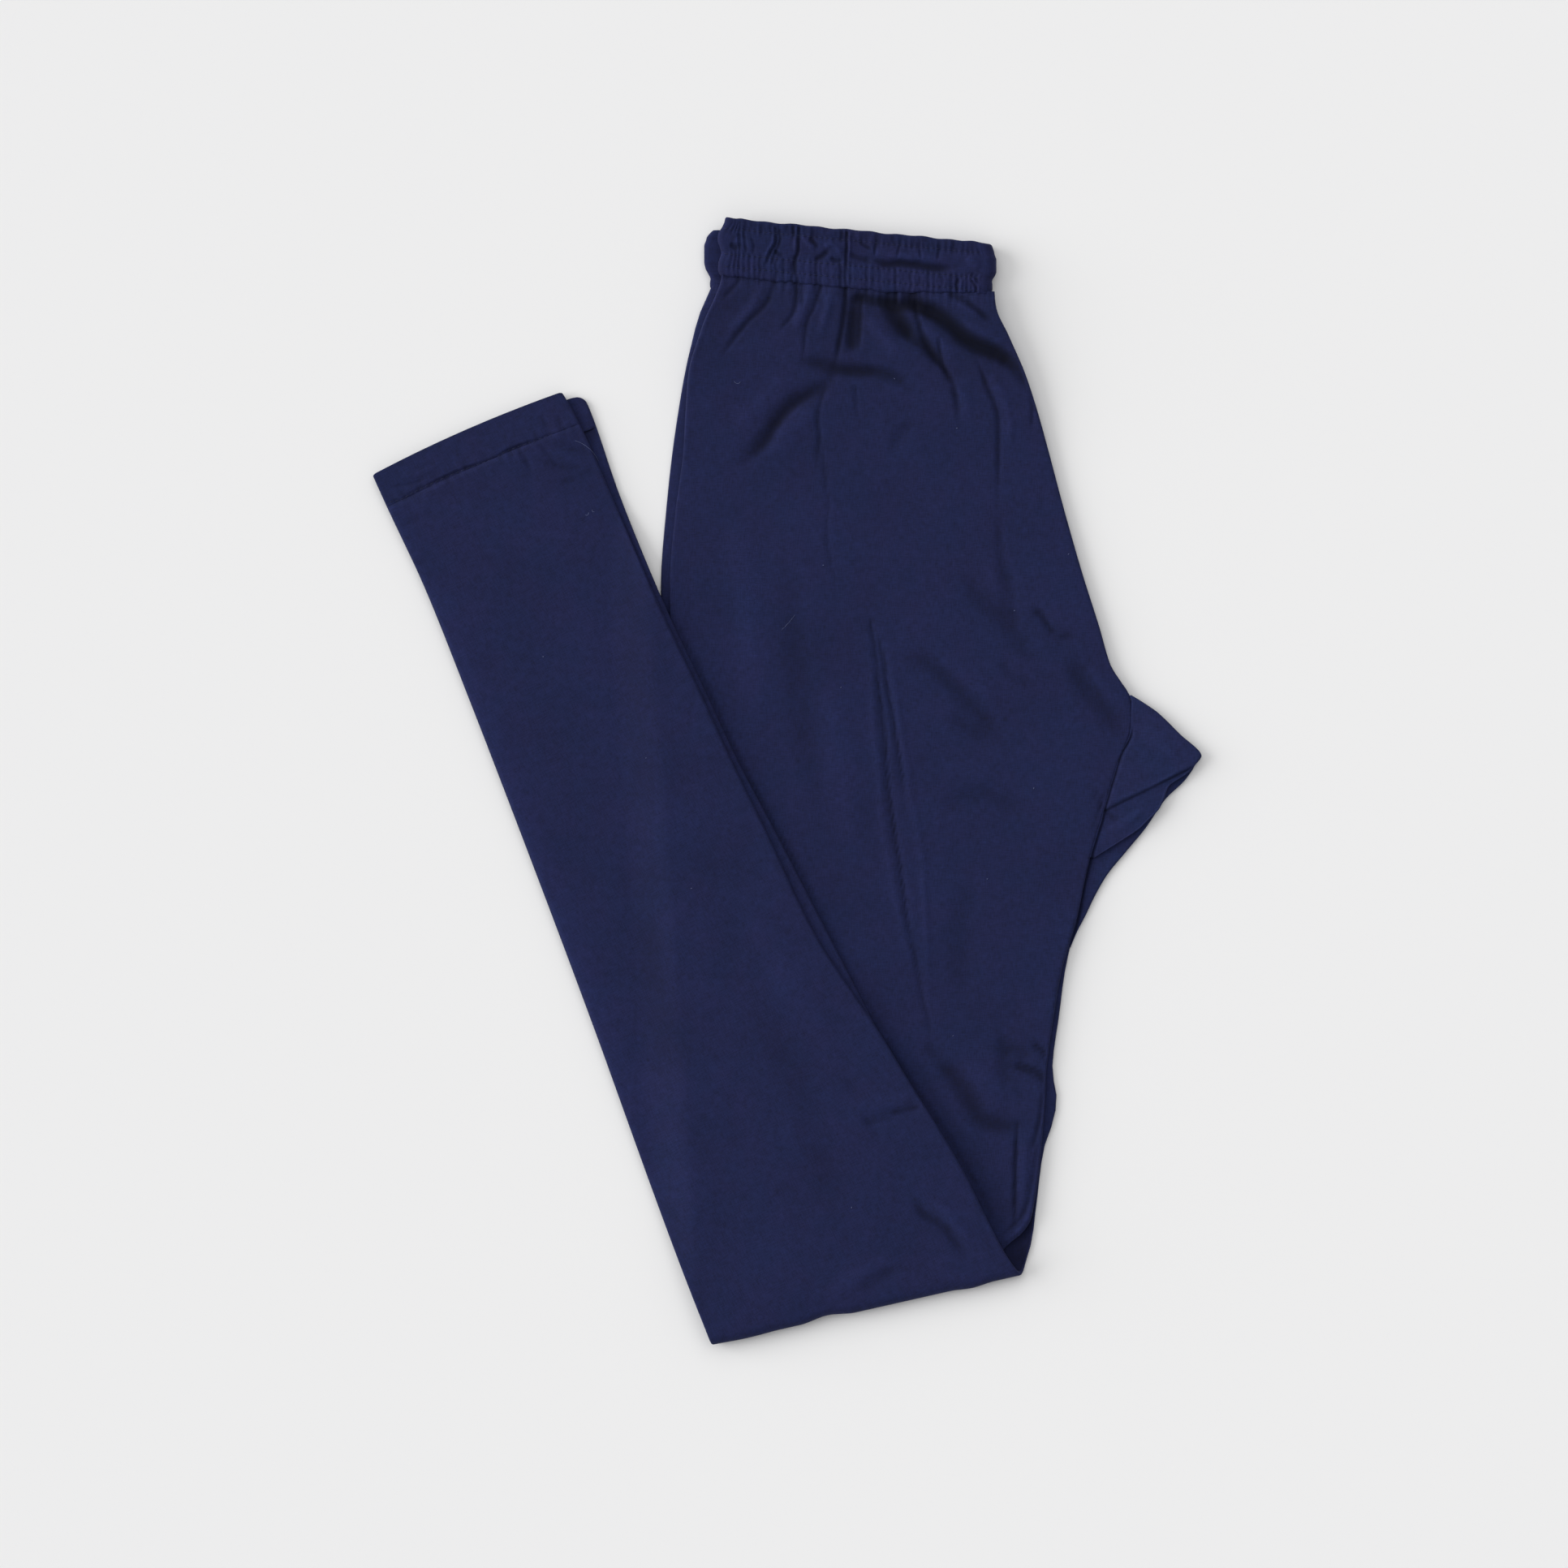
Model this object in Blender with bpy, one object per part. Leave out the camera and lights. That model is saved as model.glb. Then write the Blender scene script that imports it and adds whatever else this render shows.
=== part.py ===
"""Churidar pants, folded in half along the rise and then turned up at the knee, lying flat.

+X runs to the rise, where the legs are joined, +Y to the waist and +Z up from the surface.
The origin is below the middle of the folded garment, on that surface. Sizes are in metres.
"""

import math

import bpy

MM = 0.001

# Cloth and layers.
SEAM_GAP = 0.3 * MM
LAYER_GAP = 0.3 * MM
LEG_PRESSED = 2.4 * MM  # one leg, two layers of cloth pressed together
LEG_AT_WAIST = 5.7 * MM  # the same two layers where the gathers hold them apart
CLOTH_WALL = 1.05 * MM

# The fold across the knee: one point of it and its slope, and the height its bend turns about.
FOLD_X = -41.4 * MM
FOLD_Y = -313.2 * MM
FOLD_SLOPE = math.radians(12.73)
BEND_RADIUS = 5.5 * MM
FOLD_OUT = (math.sin(FOLD_SLOPE), -math.cos(FOLD_SLOPE))

# How the turned-up legs come down from the thigh to the surface beside it.
DROP_START = 4.0 * MM
DROP_WIDTH = 26.0 * MM
DROP_FREE_START = 6.0 * MM
DROP_FREE_WIDTH = 60.0 * MM

# Where the thickness of the gathered waist has died away.
PUFF_TOP = 272.0 * MM
PUFF_LENGTH = 110.0 * MM

# Waistband.
BAND_PITCH = 3.0 * MM
BAND_WALL = 2.7 * MM
BAND_LEFT = -36.5 * MM
BAND_RIGHT = 110.5 * MM
BAND_TOP_LEFT = 311.5 * MM
BAND_TOP_RIGHT = 297.5 * MM
UNDER_BAND_SHIFT = 5.5 * MM
UNDER_BAND_DROP = 7.0 * MM

HEM_LENGTH = 20.0 * MM

# Each row is a level of the unfolded legs, in millimetres: its height on the plan, and how far
# across the outer fold and the inseam of each leg lie there.
LEG_EDGES_MM = (
    # level, over outer, over inseam, under outer, under inseam
    (290, -39.0, 114.6, -42.0, 114.6),
    (272, -41.3, 114.8, -45.0, 114.8),
    (258, -44.4, 116.2, -49.2, 116.2),
    (245, -48.9, 123.0, -52.0, 123.0),
    (228, -54.0, 131.2, -56.0, 131.2),
    (205, -56.0, 139.0, -60.0, 139.0),
    (180, -57.5, 146.0, -63.6, 146.0),
    (150, -61.5, 154.0, -66.8, 154.0),
    (115, -64.6, 164.0, -69.6, 164.0),
    (85, -64.8, 173.5, -69.4, 173.5),
    (62, -63.3, 183.0, -67.6, 183.0),
    (46, -62.2, 190.6, -66.4, 190.6),
    (27, -60.9, 190.6, -65.0, 190.6),
    (10, -59.6, 184.0, -63.7, 184.0),
    (-15, -57.9, 176.4, -61.9, 176.4),
    (-45, -55.7, 167.8, -59.7, 167.8),
    (-75, -53.8, 161.4, -57.4, 161.6),
    (-105, -52.2, 152.8, -55.3, 154.8),
    (-130, -50.9, 148.4, -53.6, 151.4),
    (-160, -49.3, 144.2, -51.6, 147.6),
    (-177, -48.4, 143.5, -50.4, 150.0),
    (-190, -47.7, 142.6, -49.5, 147.8),
    (-205, -46.8, 141.2, -48.6, 142.8),
    (-235, -44.9, 136.6, -46.6, 138.6),
    (-270, -42.7, 130.2, -44.3, 132.0),
    (-312, -40.1, 127.0, -41.5, 129.2),
    (-370, -34.9, 123.2, -37.4, 125.2),
    (-430, -29.3, 118.2, -31.9, 117.6),
    (-500, -22.4, 115.2, -25.0, 113.2),
    (-600, -13.5, 111.7, -16.4, 109.2),
    (-690, -7.0, 110.2, -9.4, 108.8),
    (-760, -2.3, 114.3, -4.8, 110.7),
    (-810, -1.7, 120.4, -4.4, 111.9),
    (-840, -1.9, 120.0, -3.8, 109.0),
)
OVER_OUTER = 1
OVER_INSEAM = 2
UNDER_OUTER = 3
UNDER_INSEAM = 4

# The slope of a cross-cut of the legs at each level, in degrees; the fold's own at the knee.
CUT_SLOPES = (
    # level in mm, over leg, under leg
    (272, -5.44, -2.64),
    (190, -3.0, -2.0),
    (90, 2.0, 2.0),
    (-200, 12.73, 12.73),
    (-250, 12.73, 12.73),
    (-350, 12.73, 12.73),
    (-400, 12.73, 12.73),
    (-700, 5.0, 4.0),
    (-825, 3.9, 1.8),
)
SLOPE_OVER = 1
SLOPE_UNDER = 2

# Middle levels of the first and the last cut of each leg, in millimetres.
OVER_TOP_LEVEL = 271.0
UNDER_TOP_LEVEL = 267.4
OVER_END_LEVEL = -822.0
UNDER_END_LEVEL = -828.0

# Gathers along the top layer of the band, from the outer fold, 0, to the rise, 1.
BAND_GATHERS = (
    # place, height in mm
    (0.035, 0.9),
    (0.062, 1.0),
    (0.090, 0.8),
    (0.118, 1.1),
    (0.150, 0.9),
    (0.180, 1.0),
    (0.208, 0.7),
    (0.245, 1.0),
    (0.290, 0.9),
    (0.330, 0.7),
    (0.368, 1.0),
    (0.405, 0.8),
    (0.445, 1.1),
    (0.480, 0.8),
    (0.530, 0.6),
    (0.580, 1.0),
    (0.650, 0.7),
    (0.695, 1.0),
    (0.735, 0.8),
    (0.765, 1.0),
    (0.800, 0.9),
    (0.850, 1.1),
    (0.880, 0.8),
    (0.910, 1.0),
    (0.950, 0.9),
    (0.980, 0.8),
)

# Rows down the band, from its top edge: three rows of stitches pinch it, 6, 20 and 27 mm down.
BAND_ROWS = (
    # distance below the top edge, share of the wall, share of the gathers' height
    (0.6 * MM, 0.55, 0.7),
    (3.0 * MM, 0.95, 1.0),
    (6.0 * MM, 0.80, 0.35),
    (13.0 * MM, 1.0, 1.0),
    (20.0 * MM, 0.80, 0.35),
    (23.5 * MM, 0.95, 0.9),
    (27.0 * MM, 0.80, 0.35),
    (30.0 * MM, 0.85, 0.7),
    (33.0 * MM, 0.6, 0.5),
)
BAND_INNER_ROWS = (BAND_ROWS[-1], BAND_ROWS[len(BAND_ROWS) // 2], BAND_ROWS[0])

# Gathers under the band on the over leg. Place runs from the outer fold, 0, to the rise, 1.
GATHERS = (
    # place, height in mm, length in mm, drift across in mm
    (0.035, 1.0, 42, -9),
    (0.095, 1.3, 70, -12),
    (0.150, 0.9, 34, -10),
    (0.215, 1.2, 52, -12),
    (0.270, 0.8, 30, -7),
    (0.335, 1.3, 40, -4),
    (0.390, 0.9, 26, -3),
    (0.455, 1.5, 84, -10),
    (0.520, 0.8, 30, 0),
    (0.580, 1.3, 46, 3),
    (0.640, 1.0, 34, 8),
    (0.700, 1.4, 60, 14),
    (0.760, 0.9, 30, 10),
    (0.815, 1.3, 54, 16),
    (0.870, 0.9, 34, 12),
    (0.915, 1.2, 46, 14),
    (0.965, 0.8, 28, 8),
)
GATHER_HALF_WIDTH = 4.4 * MM

# Long creases and pleats: each runs between two points of the plan, raised or sunk.
CREASES_MM = (
    # from x, from y, to x, to y, height, half width
    (32, 262, 20, 218, 1.0, 6.0),
    (20, 216, -26, 172, 0.9, 6.5),
    (44, 266, 84, 234, -0.9, 6.0),
    (84, 234, 96, 196, -0.8, 6.0),
    (76, 262, 116, 238, -0.8, 5.5),
    (110, 236, 136, 214, -0.7, 5.5),
    (106, 232, 120, 178, 0.7, 7.0),
    (18, 212, 26, 100, 0.5, 5.0),
    (47, 84, 60, -50, 0.9, 7.0),
    (60, -50, 78, -136, 0.9, 7.5),
    (53, 76, 72, -48, 0.8, 6.0),
    (72, -48, 80, -150, 0.7, 7.0),
    (50, 82, 66, -48, -0.7, 4.0),
    (60, 66, 94, 14, 0.5, 9.0),
    (114, 138, 128, 80, -0.5, 9.0),
    (133, -178, 128, -250, 0.7, 6.0),
    (144, -150, 146, -186, -0.7, 5.0),
)
FROM_X, FROM_Y, TO_X, TO_Y, CREASE_HEIGHT, CREASE_HALF_WIDTH = range(6)
CREASE_PAST_END = 0.1  # how far a crease runs on past its two points, as a share of its length
CREASE_FADE = 0.3  # share of its length over which it fades
CREASE_CALM_START = 12.0 * MM  # no crease within this distance of the knee's bend
CREASE_CALM_LENGTH = 30.0 * MM

# Soft folds on the turned-up under leg, on the plan as it lies.
SHIN_CREASES_MM = (
    # from x, from y, to x, to y, height, half width
    (50, -186, 78, -180, 0.5, 6.0),
    (-196, 120, -150, 10, 0.5, 12.0),
    (-170, 130, -110, -20, -0.4, 11.0),
    (-80, -120, -20, -240, 0.5, 14.0),
    (-20, -120, 60, -262, -0.5, 12.0),
    (84, -246, 102, -262, -0.6, 7.0),
)
SHIN_CALM_START = 8.0 * MM
SHIN_CALM_LENGTH = 20.0 * MM

# Gussets: level, seam to the leg and outer edge, in millimetres.
GUSSET_OVER_MM = (
    # level, seam, outer edge
    (45.6, 192.0, 195.2),
    (37.4, 191.5, 206.0),
    (25.2, 190.8, 218.6),
    (14.4, 185.9, 230.0),
    (8.4, 183.4, 226.8),
    (3.0, 181.9, 221.4),
    (-3.0, 180.0, 212.6),
    (-10.0, 178.0, 209.6),
    (-16.2, 176.2, 206.6),
    (-22.0, 174.9, 201.0),
    (-27.4, 173.2, 195.2),
    (-33.3, 171.4, 186.4),
    (-39.2, 169.6, 177.0),
    (-43.0, 168.6, 171.0),
)
GUSSET_UNDER_MM = (
    # level, seam, outer edge
    (44.0, 191.9, 194.6),
    (25.2, 190.8, 216.0),
    (12.0, 184.8, 227.0),
    (0.9, 181.4, 222.0),
    (-10.4, 177.8, 210.6),
    (-26.6, 173.4, 199.4),
    (-39.2, 169.6, 189.0),
    (-51.8, 166.4, 178.6),
    (-63.0, 163.8, 171.9),
    (-75.6, 161.6, 165.8),
    (-82.0, 160.2, 162.4),
)
GUSSET_SEAM = 1
GUSSET_EDGE = 2
GUSSET_LEAST_WIDTH = 1.5 * MM
GUSSET_FLAP_LEVEL = -12.6 * MM  # where the flap's folded lower edge meets the seam
GUSSET_FLAP_X = 184.5 * MM
GUSSET_FLAP_SLOPE = 0.494  # of that edge, from the seam out to the tip
GUSSET_FLAP_STEP = 0.9 * MM
GUSSET_FLAP_RUN = 2.0 * MM  # width over which the flap's edge steps down

# The rounded sides of a section: how far in and how high its two corner points lie.
EDGE_ROUND = 1.2 * MM
EDGE_CORNER_IN = 0.3
EDGE_CORNER_LOW = 0.15
EDGE_CORNER_HIGH = 0.85
HEM_SIDE_WALL = 1.2 * CLOTH_WALL

# Levels where the spacing of a leg's cross-cuts changes, and that spacing, in millimetres.
LEG_AXIS_X = 43.5 * MM
GATHERED_END_LEVEL = 190.0
GATHERED_STEP = 9.0
THIGH_END_LEVEL = -60.0
THIGH_STEP = 15.0
KNEE_STEP = 22.0
RAMP_END_LEVEL = -722.0  # the turned-up legs have come down beside the thigh all across here
RAMP_STEP = 18.0
ANKLE_STEP = 27.0
CUT_PASSES = 8

# How finely the sections are cut.
BEND_CUTS = 6
FACING_COLUMNS = 11
SHIN_COLUMNS = 14
HEM_COLUMNS = 7
HEM_CUTS = 4
GUSSET_LOW_COLUMNS = 4
GUSSET_HIGH_COLUMNS = 9
FIRST_GATHER_COLUMN = 0.35  # place of the first column, as a share of the first gather's
BAND_OUTER_TURN_COLUMNS = 8
BAND_INNER_TURN_COLUMNS = 4
BAND_BOTTOM_COLUMNS = 10
BAND_INNER_COLUMNS = 8

# Cloth colours, as linear red, green and blue.
BAND_COLOUR = (0.013, 0.016, 0.052)
OVER_LEG_COLOUR = (0.016, 0.019, 0.062)
UNDER_LEG_COLOUR = (0.015, 0.019, 0.064)
OVER_GUSSET_COLOUR = (0.016, 0.021, 0.066)
UNDER_GUSSET_COLOUR = (0.014, 0.018, 0.058)
OVER_HEM_COLOUR = (0.016, 0.019, 0.060)
UNDER_HEM_COLOUR = (0.016, 0.020, 0.064)
CLOTH_ROUGHNESS = 0.9
SHARP_ANGLE = math.radians(50.0)


def smooth(value):
    """0 below 0, 1 above 1 and an even S between."""
    value = min(max(value, 0.0), 1.0)
    return value * value * (3.0 - 2.0 * value)


def read_table(rows, column, level):
    """The value of a column at a level, on a curve through the rows, which fall in level."""
    last = len(rows) - 1
    index = 0
    while index < last - 1 and rows[index + 1][0] > level:
        index += 1
    before = rows[max(index - 1, 0)]
    here = rows[index]
    there = rows[index + 1]
    after = rows[min(index + 2, last)]
    span = there[0] - here[0]
    along = min(max((level - here[0]) / span, 0.0), 1.0)
    start_slope = (there[column] - before[column]) / (there[0] - before[0]) * span
    end_slope = (after[column] - here[column]) / (after[0] - here[0]) * span
    square = along * along
    cube = square * along
    return (
        (2.0 * cube - 3.0 * square + 1.0) * here[column]
        + (cube - 2.0 * square + along) * start_slope
        + (3.0 * square - 2.0 * cube) * there[column]
        + (cube - square) * end_slope
    )


def past_fold(x, y):
    """How far a point of the unfolded legs lies past the fold across the knee."""
    return (x - FOLD_X) * FOLD_OUT[0] + (y - FOLD_Y) * FOLD_OUT[1]


def leg_drop(x, y):
    """0 where the turned-up leg lies on the thigh, 1 where it has come down beside it."""
    outside = read_table(LEG_EDGES_MM, UNDER_OUTER, y / MM) * MM - x
    free = smooth((-past_fold(x, y) - DROP_FREE_START) / DROP_FREE_WIDTH)
    return smooth((outside - DROP_START) / DROP_WIDTH) * free


def fold_up(x, y, height, raised):
    """The place of a point of an unfolded leg at this height, once the leg is turned up."""
    beyond = past_fold(x, y)
    if beyond <= -BEND_RADIUS:
        return (x, y, height + raised)
    radius = BEND_RADIUS - height
    turn = math.pi * min((beyond + BEND_RADIUS) / (2.0 * BEND_RADIUS), 1.0)
    if beyond < BEND_RADIUS:
        new_beyond = -BEND_RADIUS + radius * math.sin(turn)
    else:
        new_beyond = -beyond
    new_x = x + (new_beyond - beyond) * FOLD_OUT[0]
    new_y = y + (new_beyond - beyond) * FOLD_OUT[1]
    lift = BEND_RADIUS - radius * math.cos(turn)
    if beyond >= BEND_RADIUS:
        under_surface = 2.0 * BEND_RADIUS - (2.0 * LEG_PRESSED + LAYER_GAP)
        lift += raised - leg_drop(new_x, new_y) * under_surface
    return (new_x, new_y, lift)


def leg_thickness(y):
    """Thick where the waist's gathers hold the two layers apart, pressed flat below."""
    puff = 1.0 - smooth((PUFF_TOP - y) / PUFF_LENGTH)
    return LEG_PRESSED + (LEG_AT_WAIST - LEG_PRESSED) * puff


def crease_height(rows, x, y):
    """The sum of the creases at a point, each a soft ridge or trough that fades at its ends."""
    total = 0.0
    for row in rows:
        start_x = row[FROM_X] * MM
        start_y = row[FROM_Y] * MM
        run_x = row[TO_X] * MM - start_x
        run_y = row[TO_Y] * MM - start_y
        length = math.hypot(run_x, run_y)
        along = ((x - start_x) * run_x + (y - start_y) * run_y) / (length * length)
        across = ((x - start_x) * run_y - (y - start_y) * run_x) / length
        side = abs(across) / (row[CREASE_HALF_WIDTH] * MM)
        from_start = smooth((along + CREASE_PAST_END) / CREASE_FADE)
        from_end = smooth((1.0 + CREASE_PAST_END - along) / CREASE_FADE)
        ends = from_start * from_end
        if side >= 1.0 or ends == 0.0:
            continue
        total += row[CREASE_HEIGHT] * MM * ends * (1.0 - smooth(side))
    return total


def gather_height(place, left, right, y):
    """The gathers that hang from the band, as ridges that drift and die away down the leg."""
    below = PUFF_TOP - y
    total = 0.0
    for at, height, length, drift in GATHERS:
        down = below / (length * MM)
        if down >= 1.0:
            continue
        centre = left + (right - left) * at + drift * MM * down
        across = abs(left + (right - left) * place - centre) / GATHER_HALF_WIDTH
        if across < 1.0:
            total += height * MM * (1.0 - smooth(down)) * (1.0 - smooth(across))
    return total


def cut_points(level, slope, outer_column, inseam_column):
    """The two ends of one cross-cut, where its sloping line meets the leg's two edges."""
    rise = math.tan(math.radians(slope))
    middle = 0.5 * (
        read_table(LEG_EDGES_MM, outer_column, level)
        + read_table(LEG_EDGES_MM, inseam_column, level)
    )
    ends = []
    for column in (outer_column, inseam_column):
        x = read_table(LEG_EDGES_MM, column, level)
        for _ in range(CUT_PASSES):
            x = read_table(LEG_EDGES_MM, column, level + rise * (x - middle))
        ends.append((x * MM, (level + rise * (x - middle)) * MM))
    return ends


def spaced(start, stop, step):
    """Levels from start down to just before stop, about one step apart."""
    count = round((start - stop) / step)
    return [start + (stop - start) * i / count for i in range(count)]


def leg_levels(top, end):
    """Levels of the cross-cuts, close together near the gathers and round the fold."""
    fold_middle = (FOLD_Y + math.tan(FOLD_SLOPE) * (LEG_AXIS_X - FOLD_X)) / MM
    reach = BEND_RADIUS / MM / math.cos(FOLD_SLOPE)
    stretches = (
        # down to this level, in steps of about this length
        (GATHERED_END_LEVEL, GATHERED_STEP),
        (THIGH_END_LEVEL, THIGH_STEP),
        (fold_middle + reach, KNEE_STEP),
        (fold_middle - reach, 2.0 * reach / BEND_CUTS),
        (RAMP_END_LEVEL, RAMP_STEP),
        (end, ANKLE_STEP),
    )
    levels = []
    start = top
    for stop, step in stretches:
        levels += spaced(start, stop, step)
        start = stop
    return levels + [end]


def even_columns(count):
    return [(i + 0.5) / count for i in range(count)]


def gather_columns():
    """A column on each gather's crest and one in each trough between two."""
    places = [row[0] for row in GATHERS]
    columns = [places[0] * FIRST_GATHER_COLUMN]
    for here, there in zip(places, places[1:] + [1.0]):
        columns += [here, 0.5 * (here + there)]
    return columns


def section_loop(low_columns, high_columns, inset):
    """Round one flattened section with rounded sides: places across and shares of the height."""
    corner = EDGE_CORNER_IN * inset
    loop = [(place, 0.0) for place in low_columns]
    loop += [(1.0 - corner, EDGE_CORNER_LOW), (1.0, 0.5), (1.0 - corner, EDGE_CORNER_HIGH)]
    loop += [(place, 1.0) for place in reversed(high_columns)]
    loop += [(corner, EDGE_CORNER_HIGH), (0.0, 0.5), (corner, EDGE_CORNER_LOW)]
    return loop


def split_quad(points, a, b, c, d):
    """Two triangles of a quad a b on one section, d c on the next, with the split from the left.

    The two faces where one leg lies on the other then fold along the same lines.
    """
    if points[a][0] < points[b][0]:
        return [(a, b, c), (a, c, d)]
    return [(a, b, d), (b, c, d)]


def close_loops(loops):
    """Faces that join each loop of points to the next and cap both ends."""
    size = len(loops[0])
    points = [point for loop in loops for point in loop]
    faces = []
    for row in range(len(loops) - 1):
        for i in range(size):
            j = (i + 1) % size
            a = row * size
            b = a + size
            faces += split_quad(points, a + i, a + j, b + j, b + i)
    faces.append(tuple(reversed(range(size))))
    last = (len(loops) - 1) * size
    faces.append(tuple(last + i for i in range(size)))
    return points, faces


def close_tube(outer_loops, inner_loops):
    """Faces of a wall between an outer and an inner skin, open at both ends."""
    size = len(outer_loops[0])
    rows = len(outer_loops)
    points = [point for loop in outer_loops + inner_loops for point in loop]
    faces = []
    for row in range(rows - 1):
        for i in range(size):
            j = (i + 1) % size
            a = row * size
            b = a + size
            faces.append((a + i, a + j, b + j, b + i))
            c = (rows + row) * size
            e = c + size
            faces.append((c + j, c + i, e + i, e + j))
    for i in range(size):
        j = (i + 1) % size
        inner = rows * size
        faces.append((j, i, inner + i, inner + j))
        a = (rows - 1) * size
        c = (2 * rows - 1) * size
        faces.append((a + i, a + j, c + j, c + i))
    return points, faces


def cloth_material(name, colour):
    material = bpy.data.materials.new(name)
    material.use_nodes = True
    shader = material.node_tree.nodes["Principled BSDF"]
    shader.inputs["Base Color"].default_value = (*colour, 1.0)
    shader.inputs["Roughness"].default_value = CLOTH_ROUGHNESS
    shader.inputs["Metallic"].default_value = 0.0
    return material


def add_piece(name, points, faces, colour):
    mesh = bpy.data.meshes.new(name)
    mesh.from_pydata(points, [], faces)
    mesh.update()
    mesh.shade_smooth()
    mesh.set_sharp_from_angle(angle=SHARP_ANGLE)
    mesh.materials.append(cloth_material(name + "_cloth", colour))
    piece = bpy.data.objects.new(name, mesh)
    bpy.context.scene.collection.objects.link(piece)
    return piece


def over_relief(x, y, place, share, cut):
    beyond = past_fold(x, y)
    if share < 1.0 or beyond > -BEND_RADIUS:
        return 0.0
    calm = smooth((-beyond - CREASE_CALM_START) / CREASE_CALM_LENGTH)
    return gather_height(place, cut.left[0], cut.right[0], y) + calm * crease_height(
        CREASES_MM, x, y
    )


def under_relief(x, y, place, share, cut):
    beyond = past_fold(x, y)
    if share > 0.0 or beyond < BEND_RADIUS:
        return 0.0
    folded_x = x - 2.0 * beyond * FOLD_OUT[0]
    folded_y = y - 2.0 * beyond * FOLD_OUT[1]
    calm = smooth((beyond - SHIN_CALM_START) / SHIN_CALM_LENGTH)
    return calm * crease_height(SHIN_CREASES_MM, folded_x, folded_y)


def no_relief(x, y, place, share, cut):
    return 0.0


class LegCut:
    """One cross-cut of a leg: its two ends, and the ends that it has in common with both legs."""

    def __init__(self, level, over):
        slope = read_table(CUT_SLOPES, SLOPE_OVER if over else SLOPE_UNDER, level)
        over_ends = cut_points(level, slope, OVER_OUTER, OVER_INSEAM)
        under_ends = cut_points(level, slope, UNDER_OUTER, UNDER_INSEAM)
        self.over = over
        self.left, self.right = over_ends if over else under_ends
        self.width = self.right[0] - self.left[0]
        inset = EDGE_ROUND
        shared_left = max(over_ends[0][0], under_ends[0][0]) + inset
        shared_right = min(over_ends[1][0], under_ends[1][0]) - inset
        self.shared_start = (shared_left - self.left[0]) / self.width
        self.shared_span = (shared_right - shared_left) / self.width
        self.inset = inset / self.width

    def own(self, columns):
        """Columns spread over this leg's own width."""
        return [self.inset + (1.0 - 2.0 * self.inset) * column for column in columns]

    def shared(self, columns):
        """Columns that stand in the same places on both legs, where the two face each other."""
        return [self.shared_start + self.shared_span * column for column in columns]

    def point(self, place, share, relief):
        x = self.left[0] + (self.right[0] - self.left[0]) * place
        y = self.left[1] + (self.right[1] - self.left[1]) * place
        thick = leg_thickness(y)
        height = share * thick + (thick + LAYER_GAP if self.over else 0.0)
        return fold_up(x, y, height, relief(x, y, place, share, self))


def leg_loop(cut, low_columns, high_columns, relief):
    """The points round one section of a leg, turned up where it lies past the fold."""
    return [
        cut.point(place, share, relief)
        for place, share in section_loop(low_columns, high_columns, cut.inset)
    ]


def facing_columns():
    """Columns of the two faces where the legs lie on each other, from edge to edge."""
    return [i / (FACING_COLUMNS - 1) for i in range(FACING_COLUMNS)]


def make_over_leg():
    loops = []
    for level in leg_levels(OVER_TOP_LEVEL, OVER_END_LEVEL + HEM_LENGTH / MM):
        cut = LegCut(level, True)
        low_columns = cut.shared(facing_columns())
        high_columns = cut.own(gather_columns())
        loops.append(leg_loop(cut, low_columns, high_columns, over_relief))
    add_piece("over_leg", *close_loops(loops), OVER_LEG_COLOUR)


def make_under_leg():
    loops = []
    for level in leg_levels(UNDER_TOP_LEVEL, UNDER_END_LEVEL + HEM_LENGTH / MM):
        cut = LegCut(level, False)
        low_columns = cut.own(even_columns(SHIN_COLUMNS))
        high_columns = cut.shared(facing_columns())
        loops.append(leg_loop(cut, low_columns, high_columns, under_relief))
    add_piece("under_leg", *close_loops(loops), UNDER_LEG_COLOUR)


def make_hem(name, over, end_level, colour):
    """An open, pressed tube: its outer skin goes on from the leg's, with a slit inside."""
    outer_loops = []
    inner_loops = []
    start = end_level + (HEM_LENGTH - SEAM_GAP) / MM
    slit_wall = CLOTH_WALL / LEG_PRESSED
    for part in range(HEM_CUTS):
        level = start + (end_level - start) * part / (HEM_CUTS - 1)
        cut = LegCut(level, over)
        columns = cut.own(even_columns(HEM_COLUMNS))
        outer_loops.append(leg_loop(cut, columns, columns, no_relief))
        side = HEM_SIDE_WALL / cut.width
        inner_loops.append(
            [
                cut.point(
                    side + (1.0 - 2.0 * side) * place,
                    slit_wall + (1.0 - 2.0 * slit_wall) * share,
                    no_relief,
                )
                for place, share in section_loop(columns, columns, cut.inset)
            ]
        )
    add_piece(name, *close_tube(outer_loops, inner_loops), colour)


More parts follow.
